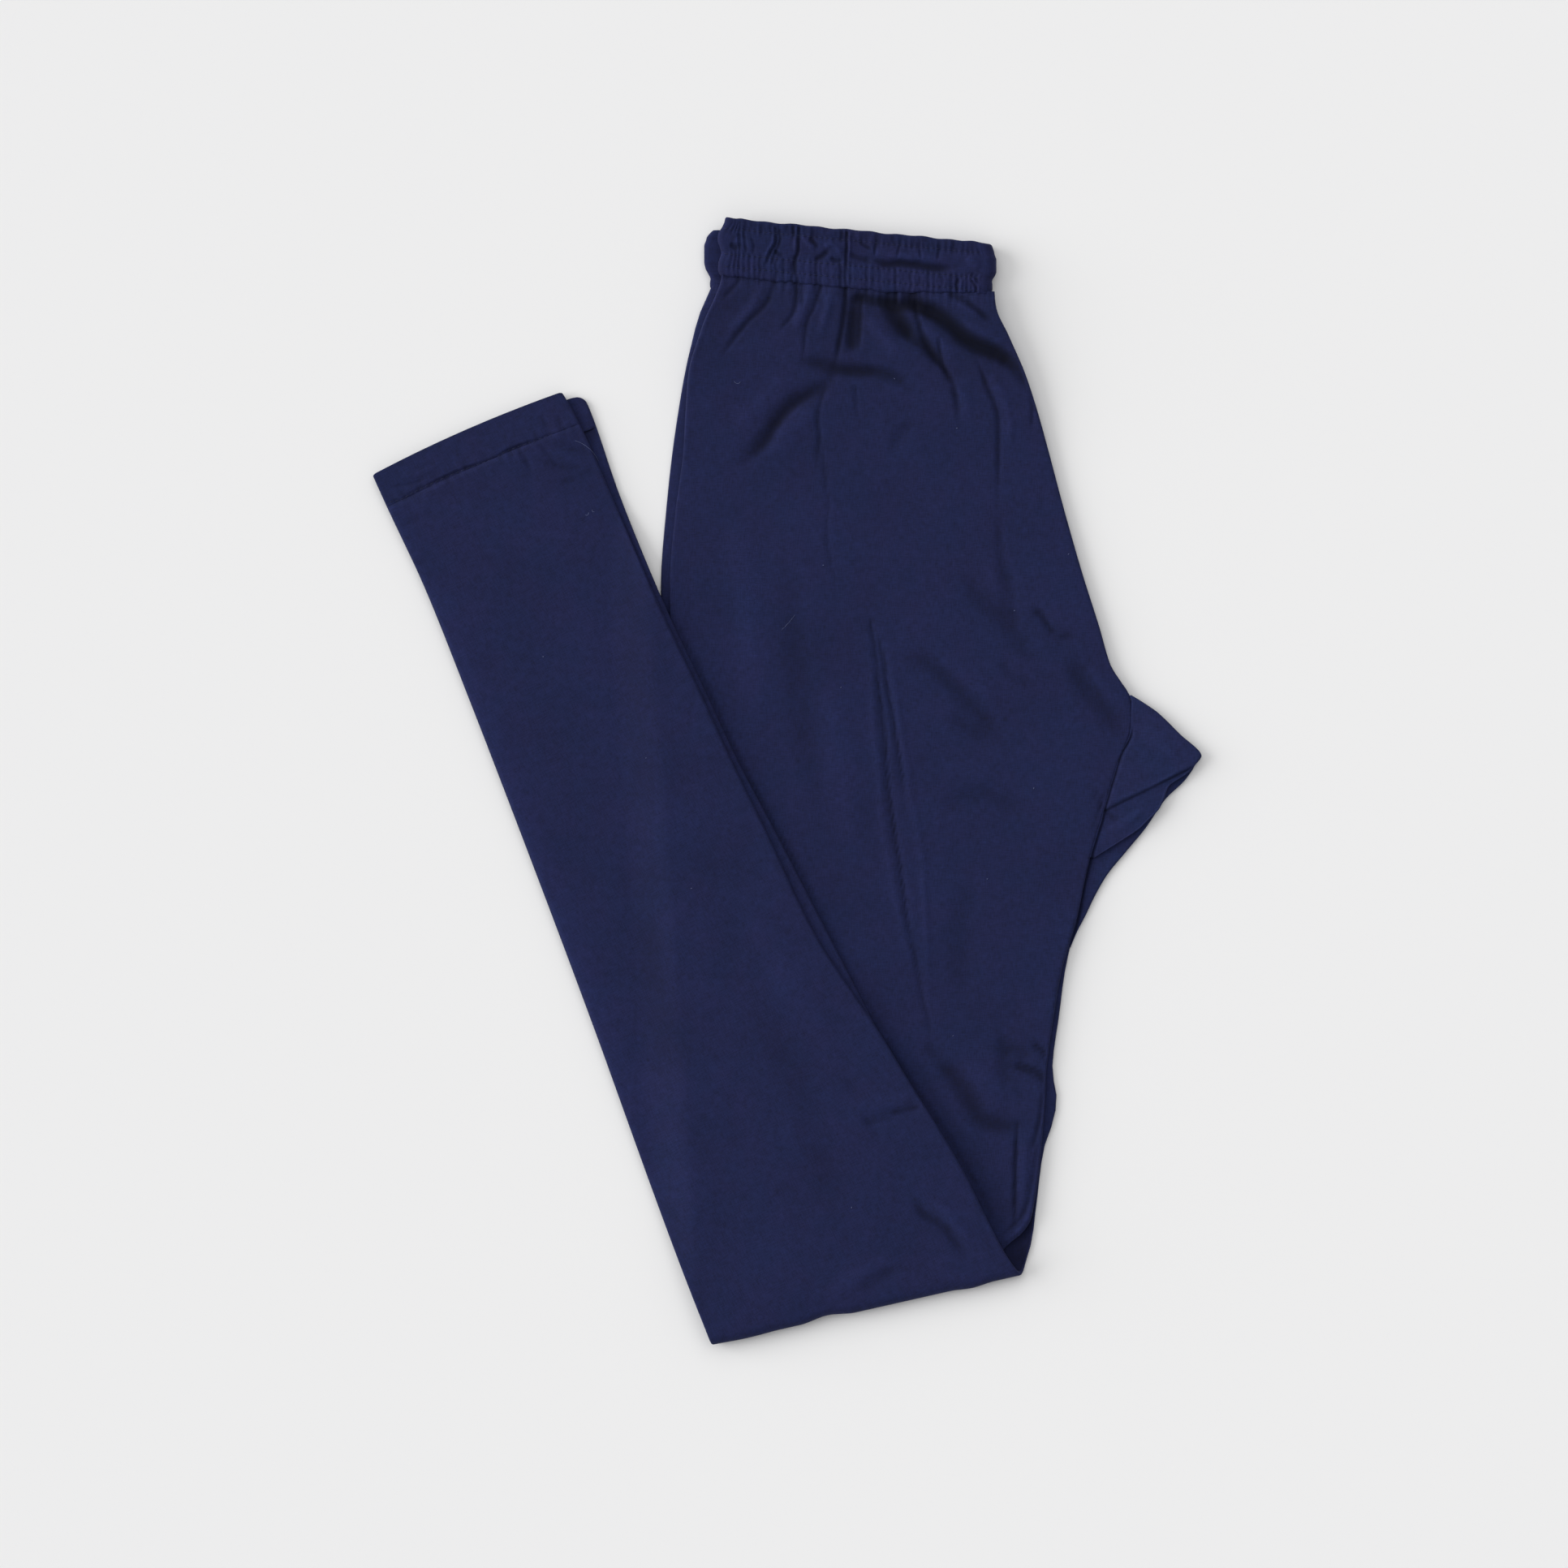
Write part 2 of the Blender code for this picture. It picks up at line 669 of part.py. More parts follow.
def make_gusset(name, rows, low, high, stepped, colour):
    """A flat triangle of cloth beside the leg, the upper one with its flap folded over."""
    levels = []
    for here, there in zip(rows, rows[1:]):
        levels += [here[0], 0.5 * (here[0] + there[0])]
    levels.append(rows[-1][0])
    low_columns = even_columns(GUSSET_LOW_COLUMNS)
    high_columns = even_columns(GUSSET_HIGH_COLUMNS)
    loops = []
    for level in levels:
        left = read_table(rows, GUSSET_SEAM, level) * MM + SEAM_GAP
        right = read_table(rows, GUSSET_EDGE, level) * MM
        width = max(right - left, GUSSET_LEAST_WIDTH)
        loop = []
        for place, share in section_loop(low_columns, high_columns, EDGE_ROUND / width):
            x = left + width * place
            y = level * MM
            height = low + (high - low) * share
            if stepped and share == 1.0:
                edge_y = GUSSET_FLAP_LEVEL + GUSSET_FLAP_SLOPE * (x - GUSSET_FLAP_X)
                on_flap = smooth((y - edge_y) / GUSSET_FLAP_RUN + 0.5)
                height -= GUSSET_FLAP_STEP * (1.0 - on_flap)
            loop.append((x, y, height))
        loops.append(loop)
    points, faces = close_loops(loops)
    add_piece(name, points, faces, colour)


def band_path():
    """The casing folded in four, seen from its top edge: place, height, outward direction.

    It starts at the outer fold of the top layer, runs to the rise, wraps round to the bottom
    layer and comes back through the two inner layers.
    """
    heights = [BAND_WALL * 0.5 + BAND_PITCH * layer for layer in range(4)]
    path = []

    def straight(height, forward, count, up, layer):
        for i in range(count):
            part = (i + 0.5) / count
            path.append((part if forward else 1.0 - part, 0.0, height, 0.0, up, layer))

    def turn(right, low, high, downward, count):
        middle = 0.5 * (heights[low] + heights[high])
        radius = 0.5 * (heights[high] - heights[low])
        for i in range(count):
            angle = math.pi * (i + 0.5) / count
            across = math.sin(angle)
            upward = math.cos(angle) if downward else -math.cos(angle)
            side = 1.0 if right else -1.0
            outward = -1.0 if (low, high) == (1, 2) else 1.0
            path.append(
                (
                    1.0 if right else 0.0,
                    side * radius * across,
                    middle + radius * upward,
                    outward * side * across,
                    outward * upward,
                    0.5 * (low + high),
                )
            )

    for place in band_gather_columns():
        path.append((place, 0.0, heights[3], 0.0, 1.0, 3))
    turn(True, 0, 3, True, BAND_OUTER_TURN_COLUMNS)
    straight(heights[0], False, BAND_BOTTOM_COLUMNS, -1.0, 0)
    turn(False, 0, 1, False, BAND_INNER_TURN_COLUMNS)
    straight(heights[1], True, BAND_INNER_COLUMNS, 1.0, 1)
    turn(True, 1, 2, False, BAND_INNER_TURN_COLUMNS)
    straight(heights[2], False, BAND_INNER_COLUMNS, -1.0, 2)
    turn(False, 2, 3, False, BAND_INNER_TURN_COLUMNS)
    return path


def band_gather_columns():
    places = [row[0] for row in BAND_GATHERS]
    columns = [places[0] * FIRST_GATHER_COLUMN]
    for here, there in zip(places, places[1:]):
        columns += [here, 0.5 * (here + there)]
    return columns + [places[-1]]


def band_gather_height(place):
    """A gather's full height at its crest, nothing between two."""
    return dict(BAND_GATHERS).get(place, 0.0) * MM


def make_waistband():
    slope = (BAND_TOP_RIGHT - BAND_TOP_LEFT) / (BAND_RIGHT - BAND_LEFT)
    loops = []
    for place, aside, height, out_x, out_z, layer in band_path():
        under = smooth(2.0 - layer) if layer < 2 else 0.0
        left_x = BAND_LEFT - UNDER_BAND_SHIFT * under
        x = left_x + (BAND_RIGHT - left_x) * place + aside
        top_y = BAND_TOP_LEFT + slope * (x - BAND_LEFT) - UNDER_BAND_DROP * under * (1.0 - place)
        raised = band_gather_height(place) if layer == 3 and aside == 0.0 else 0.0
        loop = []
        for down, wall, share in BAND_ROWS:
            out = 0.5 * BAND_WALL * (1.0 if layer < 3 else wall) + raised * share
            loop.append((x + out_x * out, top_y - down, height + out_z * out))
        for down, wall, _ in BAND_INNER_ROWS:
            inward = 0.5 * BAND_WALL * wall
            loop.append((x - out_x * inward, top_y - down, height - out_z * inward))
        loops.append(loop)
    size = len(loops[0])
    points = [point for loop in loops for point in loop]
    faces = []
    for row in range(len(loops)):
        after = (row + 1) % len(loops)
        for i in range(size):
            j = (i + 1) % size
            faces.append((row * size + i, row * size + j, after * size + j, after * size + i))
    add_piece("waistband", points, faces, BAND_COLOUR)


def clear_scene():
    for item in list(bpy.data.objects):
        bpy.data.objects.remove(item, do_unlink=True)


clear_scene()
make_waistband()
make_over_leg()
make_under_leg()
OVER_LAYER_LOW = LEG_PRESSED + LAYER_GAP
make_gusset(
    "gusset_over",
    GUSSET_OVER_MM,
    OVER_LAYER_LOW,
    OVER_LAYER_LOW + LEG_PRESSED,
    True,
    OVER_GUSSET_COLOUR,
)
make_gusset("gusset_under", GUSSET_UNDER_MM, 0.0, LEG_PRESSED, False, UNDER_GUSSET_COLOUR)
make_hem("over_hem", True, OVER_END_LEVEL, OVER_HEM_COLOUR)
make_hem("under_hem", False, UNDER_END_LEVEL, UNDER_HEM_COLOUR)
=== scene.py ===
"""The looks of a pair of plain navy churidar pants, folded and laid flat on a pale surface."""

import math

import bpy
import numpy as np
from mathutils.bvhtree import BVHTree
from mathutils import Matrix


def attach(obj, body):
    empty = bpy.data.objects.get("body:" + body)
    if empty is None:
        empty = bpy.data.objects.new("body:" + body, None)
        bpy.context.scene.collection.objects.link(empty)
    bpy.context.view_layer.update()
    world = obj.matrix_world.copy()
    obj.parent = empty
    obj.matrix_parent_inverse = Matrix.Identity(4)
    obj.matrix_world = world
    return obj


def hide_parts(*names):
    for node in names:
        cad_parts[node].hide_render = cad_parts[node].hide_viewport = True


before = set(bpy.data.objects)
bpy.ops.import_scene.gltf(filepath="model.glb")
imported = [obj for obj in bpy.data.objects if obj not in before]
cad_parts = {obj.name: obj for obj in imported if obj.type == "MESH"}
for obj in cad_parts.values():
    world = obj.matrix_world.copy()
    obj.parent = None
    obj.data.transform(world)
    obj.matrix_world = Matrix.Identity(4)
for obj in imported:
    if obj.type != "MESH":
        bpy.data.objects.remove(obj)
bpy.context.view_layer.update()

# The room. The pants lie on a plain pale surface under broad, soft daylight that comes a little
# from the upper left, and they are seen from straight above.

MM = 0.001
FRAME_WIDTH = 869.4 * MM
LENS = 135.0
SENSOR = 36.0
VIEW_X = -1.4 * MM
VIEW_Y = -2.2 * MM
VIEW_Z = 5.0 * MM
FLOOR_COLOUR = (0.865, 0.865, 0.868)
FLOOR_HALF = 3.0
FLOOR_DEPTH = 0.3 * MM
SKY_STRENGTH = 0.36
SOFT_LIGHTS = (
    # name, strength, spread, height and bearing from +X in degrees
    ("window_light", 2.42, 46, 22.5, 172),
    ("ceiling_light", 1.15, 75, 62, 100),
)

bpy.ops.object.select_all(action="DESELECT")
bpy.ops.mesh.primitive_plane_add(size=2.0 * FLOOR_HALF, location=(0.0, 0.0, -FLOOR_DEPTH))
floor = bpy.context.object
floor.name = "pale_surface"
bpy.ops.object.transform_apply(location=True, rotation=True, scale=True)
floor_paint = bpy.data.materials.new("pale_paint")
floor_paint.use_nodes = True
paint = floor_paint.node_tree.nodes["Principled BSDF"]
paint.inputs["Base Color"].default_value = (*FLOOR_COLOUR, 1.0)
paint.inputs["Roughness"].default_value = 1.0
paint.inputs["Specular IOR Level"].default_value = 0.0
floor.data.materials.append(floor_paint)

sky = bpy.data.worlds.new("soft_sky")
sky.use_nodes = True
sky.node_tree.nodes["Background"].inputs["Color"].default_value = (1.0, 1.0, 1.0, 1.0)
sky.node_tree.nodes["Background"].inputs["Strength"].default_value = SKY_STRENGTH
bpy.context.scene.world = sky
bpy.context.scene.view_settings.view_transform = "Standard"

for name, strength, spread, height, bearing in SOFT_LIGHTS:
    sun_data = bpy.data.lights.new(name, "SUN")
    sun_data.energy = strength
    sun_data.angle = math.radians(spread)
    sun = bpy.data.objects.new(name, sun_data)
    sun.rotation_euler = (0.0, math.radians(90 - height), math.radians(bearing))
    bpy.context.scene.collection.objects.link(sun)

camera_data = bpy.data.cameras.new("camera_above")
camera_data.lens = LENS
camera_data.sensor_width = SENSOR
camera_data.clip_end = 20.0
camera = bpy.data.objects.new("camera_above", camera_data)
camera.location = (VIEW_X, VIEW_Y, VIEW_Z + FRAME_WIDTH * LENS / SENSOR)
bpy.context.scene.collection.objects.link(camera)
bpy.context.scene.camera = camera


# The under leg. It is cut in one piece, with a fold down its outer side and one inseam, and it
# lies pressed flat below the other leg. Both are turned up together across the knee, which
# brings this one to the top at the shin.

LAYER_GAP = 0.3 * MM
LEG_PRESSED = 2.4 * MM
LEG_AT_WAIST = 5.7 * MM
CLOTH = 0.6 * MM
EDGE_ROUND = 1.2 * MM
HEM_LENGTH = 20.0 * MM

FOLD_X = -41.4 * MM
FOLD_Y = -313.2 * MM
FOLD_SLOPE = math.radians(12.73)
BEND_RADIUS = 5.5 * MM
FOLD_OUT = (math.sin(FOLD_SLOPE), -math.cos(FOLD_SLOPE))
LEG_AXIS_X = 43.5 * MM
DROP_START = 4.0 * MM
DROP_WIDTH = 26.0 * MM
DROP_FREE_START = 6.0 * MM
DROP_FREE_WIDTH = 60.0 * MM
PUFF_TOP = 272.0 * MM
PUFF_LENGTH = 110.0 * MM

# Each row is a level of the unfolded legs and where their edges lie there, in millimetres.
LEG_EDGES_MM = (
    # level, over outer, over inseam, under outer, under inseam
    (290, -34.6, 114.6, -38.4, 114.6),
    (276, -36.6, 114.7, -40.4, 114.7),
    (266, -40.4, 115.2, -45.2, 115.2),
    (256, -45.0, 116.8, -49.2, 116.8),
    (245, -48.9, 123.0, -52.0, 123.0),
    (228, -54.0, 131.2, -56.0, 131.2),
    (205, -56.0, 139.0, -60.0, 139.0),
    (180, -57.5, 146.0, -63.6, 146.0),
    (150, -61.5, 154.0, -66.8, 154.0),
    (115, -64.6, 164.0, -69.6, 164.0),
    (85, -64.8, 173.5, -69.4, 173.5),
    (69, -63.8, 178.0, -68.2, 178.0),
    (62, -63.3, 180.6, -67.6, 180.6),
    (55, -62.8, 185.2, -67.1, 185.2),
    (46, -62.2, 190.6, -66.4, 190.6),
    (27, -60.9, 190.6, -65.0, 190.6),
    (10, -59.6, 184.0, -63.7, 184.0),
    (-15, -57.9, 176.4, -61.9, 176.4),
    (-45, -55.7, 167.8, -59.7, 167.8),
    (-75, -53.8, 161.4, -57.4, 161.6),
    (-105, -52.2, 152.8, -55.3, 154.8),
    (-130, -50.9, 148.4, -53.6, 151.4),
    (-160, -49.3, 144.2, -51.6, 147.6),
    (-177, -48.4, 143.5, -50.4, 150.0),
    (-190, -47.7, 142.6, -49.5, 147.8),
    (-205, -46.8, 141.2, -48.6, 142.8),
    (-235, -44.9, 137.4, -46.6, 138.8),
    (-245, -44.3, 135.0, -45.9, 137.6),
    (-252, -43.9, 130.0, -45.5, 136.8),
    (-258, -43.5, 122.5, -45.1, 135.6),
    (-264, -43.1, 118.5, -44.7, 134.0),
    (-280, -42.1, 119.0, -43.7, 131.4),
    (-312, -40.1, 127.0, -41.5, 129.2),
    (-370, -34.9, 123.2, -37.4, 125.2),
    (-430, -29.3, 118.2, -31.9, 117.6),
    (-500, -22.4, 116.0, -25.0, 113.2),
    (-600, -13.5, 113.8, -16.4, 109.2),
    (-690, -7.0, 112.9, -9.4, 108.8),
    (-760, -2.3, 114.9, -4.8, 110.7),
    (-810, -1.7, 120.4, -4.4, 111.9),
    (-840, -1.9, 120.0, -3.8, 109.0),
)
OVER_OUTER, OVER_INSEAM, UNDER_OUTER, UNDER_INSEAM = range(1, 5)

# The inseams of the turned-up shin, where a narrow strip of the over leg shows beside them.
# Their rows take the place of the shin's rows above, whose outer edges they keep.
SHIN_INSEAMS_MM = (
    # level, over inseam, under inseam
    (-280, 119.0, 128.8),
    (-292, 121.0, 127.0),
    (-312, 123.5, 126.4),
    (-342, 123.5, 125.9),
    (-370, 121.8, 123.4),
    (-400, 119.2, 120.0),
    (-430, 116.6, 117.0),
    (-466, 115.5, 111.5),
    (-487, 114.9, 108.7),
    (-514, 114.0, 107.6),
    (-554, 112.7, 108.2),
    (-600, 110.8, 107.7),
    (-645, 111.1, 108.4),
    (-690, 111.2, 108.4),
)

CUT_SLOPES = (
    # level in mm, over leg, under leg
    (272, -5.44, -2.64),
    (190, -3.0, -2.0),
    (90, 2.0, 2.0),
    (-200, 12.73, 12.73),
    (-250, 12.73, 12.73),
    (-350, 12.73, 12.73),
    (-400, 12.73, 12.73),
    (-700, 5.0, 4.0),
    (-825, 3.9, 1.8),
)
WAIST_LIFT = 5.0 * MM
WAIST_LIFT_FROM = 42.0 * MM
WAIST_LIFT_LEVEL = 230.0 * MM
WAIST_LIFT_RUN = 42.0 * MM
OVER_TOP_LEVEL = 273.0
UNDER_TOP_LEVEL = 274.0
OVER_END_LEVEL = -824.5
UNDER_END_LEVEL = -828.0

# Folds of the shin as it lies, in millimetres. The first share is its depth where it starts.
SHIN_FOLDS = (
    # height, half width, share at its start, then the x and y of its points
    (-1.2, 2.8, 0.0, 56, -184, 66, -183, 77, -180),
    (-0.7, 3.6, 0.0, 40, -189, 51, -188, 62, -184),
    (-0.4, 3.0, 0.0, 43, -186, 48, -193, 53, -199),
    (0.4, 4.0, 0.0, 46, -181, 57, -178, 70, -174),
    (-0.4, 5.0, 0.0, 32, -164, 37, -171, 40, -176),
    (-1.0, 4.5, 0.0, 70, -230, 76, -240, 88, -248, 96, -259, 104, -268),
    (0.6, 5.0, 0.0, 80, -232, 90, -241, 98, -250, 104, -258),
    (-0.7, 6.0, 0.0, 40, -283, 52, -275, 64, -269),
    (0.4, 6.0, 0.0, 20, -292, 40, -274, 66, -262),
    (-0.6, 2.4, 0.0, -127, 163, -118, 167, -109, 170, -103, 172),
    (-0.6, 2.2, 0.0, -138, 178, -130, 175, -122, 173, -112, 176),
    (-0.5, 2.2, 0.2, -140, 190, -132, 187, -118, 184, -104, 179),
    (-0.6, 2.2, 0.3, -150, 184, -145, 178, -141, 170),
    (-0.5, 1.8, 0.3, -137, 187, -131, 179, -125, 172),
    (0.4, 3.0, 0.0, -129, 180, -120, 178, -108, 172),
    (-0.6, 1.8, 0.0, -208, 118, -204, 120, -199, 123),
    (-0.6, 2.4, 1.0, -226, 152, -214, 155, -200, 161),
    (-0.4, 2.2, 0.0, -214, 140, -204, 146, -190, 150),
    (0.8, 17.0, 0.6, -226, 158, -198, 102, -168, 28, -141, -42, -113, -116, -87, -188, -66, -244),
    (-0.2, 16.0, 0.0, -90, -60, -66, -120, -40, -180),
    (0.3, 18.0, 0.0, -100, -110, -80, -160, -56, -220, -34, -270),
    (-0.3, 14.0, 0.0, -20, -110, 2, -160, 20, -210, 38, -262),
    (0.3, 12.0, 0.0, -26, -60, -6, -100, 18, -140, 36, -176),
)
SHIN_RIPPLES = ((0.20, 60.0, 3), (0.07, 17.0, 4))  # height and size in mm, seed
SHIN_CROWN = 0.7 * MM
SLOPE_SINK_AND_SHADE = 0.35 * MM

# The corner of the fold, where this leg shows past the curved edge of the one above it. It sinks
# there, and through the relief attribute that sink is also painted shade in the wedge below that
# edge.
CORNER_X = 110.0 * MM
CORNER_Y = -228.0 * MM
CORNER_RUN = 16.0 * MM
CORNER_SINK_AND_SHADE = 1.1 * MM


def smooth(value):
    """0 below 0, 1 above 1 and an even S between."""
    value = np.clip(value, 0.0, 1.0)
    return value * value * (3.0 - 2.0 * value)


def read_table(rows, column, level):
    """A column of a table at some levels, on a curve through its rows, which fall in level."""
    table = np.array(rows, float)
    at = table[:, 0]
    value = table[:, column]
    level = np.asarray(level, float)
    index = np.clip(np.searchsorted(-at, -level, side="left") - 1, 0, len(at) - 2)
    before = np.maximum(index - 1, 0)
    after = np.minimum(index + 2, len(at) - 1)
    span = at[index + 1] - at[index]
    along = np.clip((level - at[index]) / span, 0.0, 1.0)
    start = (value[index + 1] - value[before]) / (at[index + 1] - at[before]) * span
    end = (value[after] - value[index]) / (at[after] - at[index]) * span
    square = along * along
    cube = square * along
    return (
        (2.0 * cube - 3.0 * square + 1.0) * value[index]
        + (cube - 2.0 * square + along) * start
        + (3.0 * square - 2.0 * cube) * value[index + 1]
        + (cube - square) * end
    )


def with_shin_inseams(edges, inseams):
    """The legs' edges with the shin's rows replaced, each outer edge read off the first table."""
    finer = []
    for level, over, under in inseams:
        over_outer = round(float(read_table(edges, OVER_OUTER, level)), 1)
        under_outer = round(float(read_table(edges, UNDER_OUTER, level)), 1)
        finer.append((level, over_outer, over, under_outer, under))
    above = [row for row in edges if row[0] > inseams[0][0]]
    below = [row for row in edges if row[0] < inseams[-1][0]]
    return above + finer + below


LEG_EDGES = with_shin_inseams(LEG_EDGES_MM, SHIN_INSEAMS_MM)


def past_fold(x, y):
    return (x - FOLD_X) * FOLD_OUT[0] + (y - FOLD_Y) * FOLD_OUT[1]


def leg_drop(x, y):
    """0 where the turned-up leg lies on the thigh, 1 where it has come down beside it."""
    outside = read_table(LEG_EDGES, UNDER_OUTER, y / MM) * MM - x
    free = smooth((-past_fold(x, y) - DROP_FREE_START) / DROP_FREE_WIDTH)
    return smooth((outside - DROP_START) / DROP_WIDTH) * free


FOLD_WANDER = (
    # where along the fold, how far out and half how long, in mm
    (66.0, -1.9, 16.0),
    (148.0, 1.0, 13.0),
    (20.0, 0.6, 20.0),
)
WANDER_REACH = 18.0 * MM


def fold_wander(x, y):
    """How far the pressed fold stands out of its straight line here."""
    along = (x - FOLD_X) * -FOLD_OUT[1] + (y - FOLD_Y) * FOLD_OUT[0]
    out = sum(
        size * MM * (1.0 - smooth(np.abs(along - at * MM) / (half * MM)))
        for at, size, half in FOLD_WANDER
    )
    return out * (1.0 - smooth(np.abs(past_fold(x, y)) / WANDER_REACH))


def fold_up(x, y, height, raised):
    """The places of points of an unfolded leg at some heights, once the leg is turned up."""
    beyond = past_fold(x, y)
    radius = BEND_RADIUS - height
    turn = math.pi * np.clip((beyond + BEND_RADIUS) / (2.0 * BEND_RADIUS), 0.0, 1.0)
    bent = (beyond > -BEND_RADIUS) & (beyond < BEND_RADIUS)
    turned = beyond >= BEND_RADIUS
    new_beyond = np.where(bent, -BEND_RADIUS + radius * np.sin(turn), beyond)
    new_beyond = np.where(turned, -beyond, new_beyond)
    out = new_beyond - beyond + fold_wander(x, y)
    new_x = x + out * FOLD_OUT[0]
    new_y = y + out * FOLD_OUT[1]
    lift = BEND_RADIUS - radius * np.cos(turn)
    table_drop = 2.0 * BEND_RADIUS - (2.0 * LEG_PRESSED + LAYER_GAP)
    lift = np.where(turned, lift + raised - leg_drop(new_x, new_y) * table_drop, lift)
    lift = np.where(bent | turned, lift, height + raised)
    return np.stack([new_x, new_y, lift], axis=-1)


def leg_thickness(y):
    puff = 1.0 - smooth((PUFF_TOP - y) / PUFF_LENGTH)
    return LEG_PRESSED + (LEG_AT_WAIST - LEG_PRESSED) * puff


def fold_path(points):
    """A curve through a fold's points."""
    points = np.array(points, float).reshape(-1, 2) * MM
    padded = np.vstack([2.0 * points[0] - points[1], points, 2.0 * points[-1] - points[-2]])
    path = []
    for a, b, c, d in zip(padded, padded[1:], padded[2:], padded[3:]):
        for t in np.linspace(0.0, 1.0, 5, endpoint=False):
            square = (2.0 * a - 5.0 * b + 4.0 * c - d) * t * t
            cube = (3.0 * b - 3.0 * c + d - a) * t * t * t
            path.append(0.5 * (2.0 * b + (c - a) * t + square + cube))
    return np.array(path + [points[-1]])


def fold_height(rows, x, y):
    """The sum of the folds of a table, each a soft ridge or trough along its curve."""
    total = np.zeros_like(x)
    for height, half_width, at_start, *points in rows:
        path = fold_path(points)
        reach = half_width * MM
        low, high = path.min(axis=0) - reach, path.max(axis=0) + reach
        near = (x > low[0]) & (x < high[0]) & (y > low[1]) & (y < high[1])
        if not near.any():
            continue
        near_x, near_y = x[near], y[near]
        runs = np.diff(path, axis=0)
        lengths = np.hypot(runs[:, 0], runs[:, 1])
        starts = np.concatenate([[0.0], np.cumsum(lengths)])
        nearest = np.full_like(near_x, 9.0)
        part = np.zeros_like(near_x)
        for i, run in enumerate(runs):
            from_x, from_y = near_x - path[i, 0], near_y - path[i, 1]
            along = np.clip((from_x * run[0] + from_y * run[1]) / lengths[i] ** 2, 0.0, 1.0)
            away = np.hypot(from_x - along * run[0], from_y - along * run[1])
            closer = away < nearest
            nearest = np.where(closer, away, nearest)
            part = np.where(closer, (starts[i] + along * lengths[i]) / starts[-1], part)
        ends = np.maximum(smooth(part / 0.2), at_start) * smooth((1.0 - part) / 0.3)
        width = reach * (0.6 + 0.4 * ends)
        total[near] += height * MM * ends * (1.0 - smooth(nearest / width))
    return total


def ripple(x, y, size, seed):
    """Soft uneven waves, from -1 to 1, about this size across."""
    total = np.zeros_like(x)
    draw = np.random.default_rng(seed)
    for _ in range(9):
        turn = draw.uniform(0.0, math.pi)
        length = size * draw.uniform(0.7, 1.6)
        phase = draw.uniform(0.0, 2.0 * math.pi)
        total += np.sin(2.0 * math.pi * (x * math.cos(turn) + y * math.sin(turn)) / length + phase)
    return total / 4.5


def cut_ends(level, over):
    """The two ends of a sloping cross-cut of a leg, and its slope."""
    slope = read_table(CUT_SLOPES, 1 if over else 2, level)
    rise = math.tan(math.radians(float(slope)))
    outer, inseam = (OVER_OUTER, OVER_INSEAM) if over else (UNDER_OUTER, UNDER_INSEAM)
    middle = 0.5 * sum(read_table(LEG_EDGES, side, level) for side in (outer, inseam))
    ends = []
    for side in (outer, inseam):
        x = read_table(LEG_EDGES, side, level)
        for _ in range(8):
            x = read_table(LEG_EDGES, side, level + rise * (x - middle))
        ends += [x * MM, (level + rise * (x - middle)) * MM]
    return ends


def leg_levels(top, end, thigh_step, shin_step):
    """Levels of the cross-cuts: close together where the leg shows and round the fold."""
    fold_middle = (FOLD_Y + math.tan(FOLD_SLOPE) * (LEG_AXIS_X - FOLD_X)) / MM
    reach = BEND_RADIUS / MM / math.cos(FOLD_SLOPE)
    stretches = (
        (fold_middle + reach, thigh_step),
        (fold_middle - reach, 2.0 * reach / 16),
        (end, shin_step),
    )
    levels = []
    start = top
    for stop, step in stretches:
        levels += list(np.linspace(start, stop, max(round((start - stop) / step), 1), False))
        start = stop
    return levels + [end]


def section(low_count, high_count, inset):
    """Round a pressed tube: places across and shares of its height, with rounded sides."""
    low = np.linspace(inset, 1.0 - inset, low_count)
    high = np.linspace(1.0 - inset, inset, high_count)
    turn = np.linspace(-0.5, 0.5, 7)[1:-1] * math.pi
    right = 1.0 - inset + inset * np.cos(turn)
    place = np.concatenate([low, right, high, 1.0 - right])
    rise = 0.5 + 0.5 * np.sin(turn)
    share = np.concatenate([np.zeros(low_count), rise, np.ones(high_count), rise[::-1]])
    return place, share


HEM_BOW = 2.2 * MM
HEM_BOW_FROM = -770.0 * MM
HEM_BOW_RUN = 70.0 * MM
HEM_SEAM_SINK = 0.16 * MM
HEM_SEAM_WIDTH = 2.0 * MM
HEM_PUCKER = 0.26 * MM
HEM_PUCKER_REACH = 9.0 * MM
PUCKER_WIDE = 6.0 * MM
PUCKER_FINE = 2.6 * MM
LEAST_LEG = 1.1 * MM


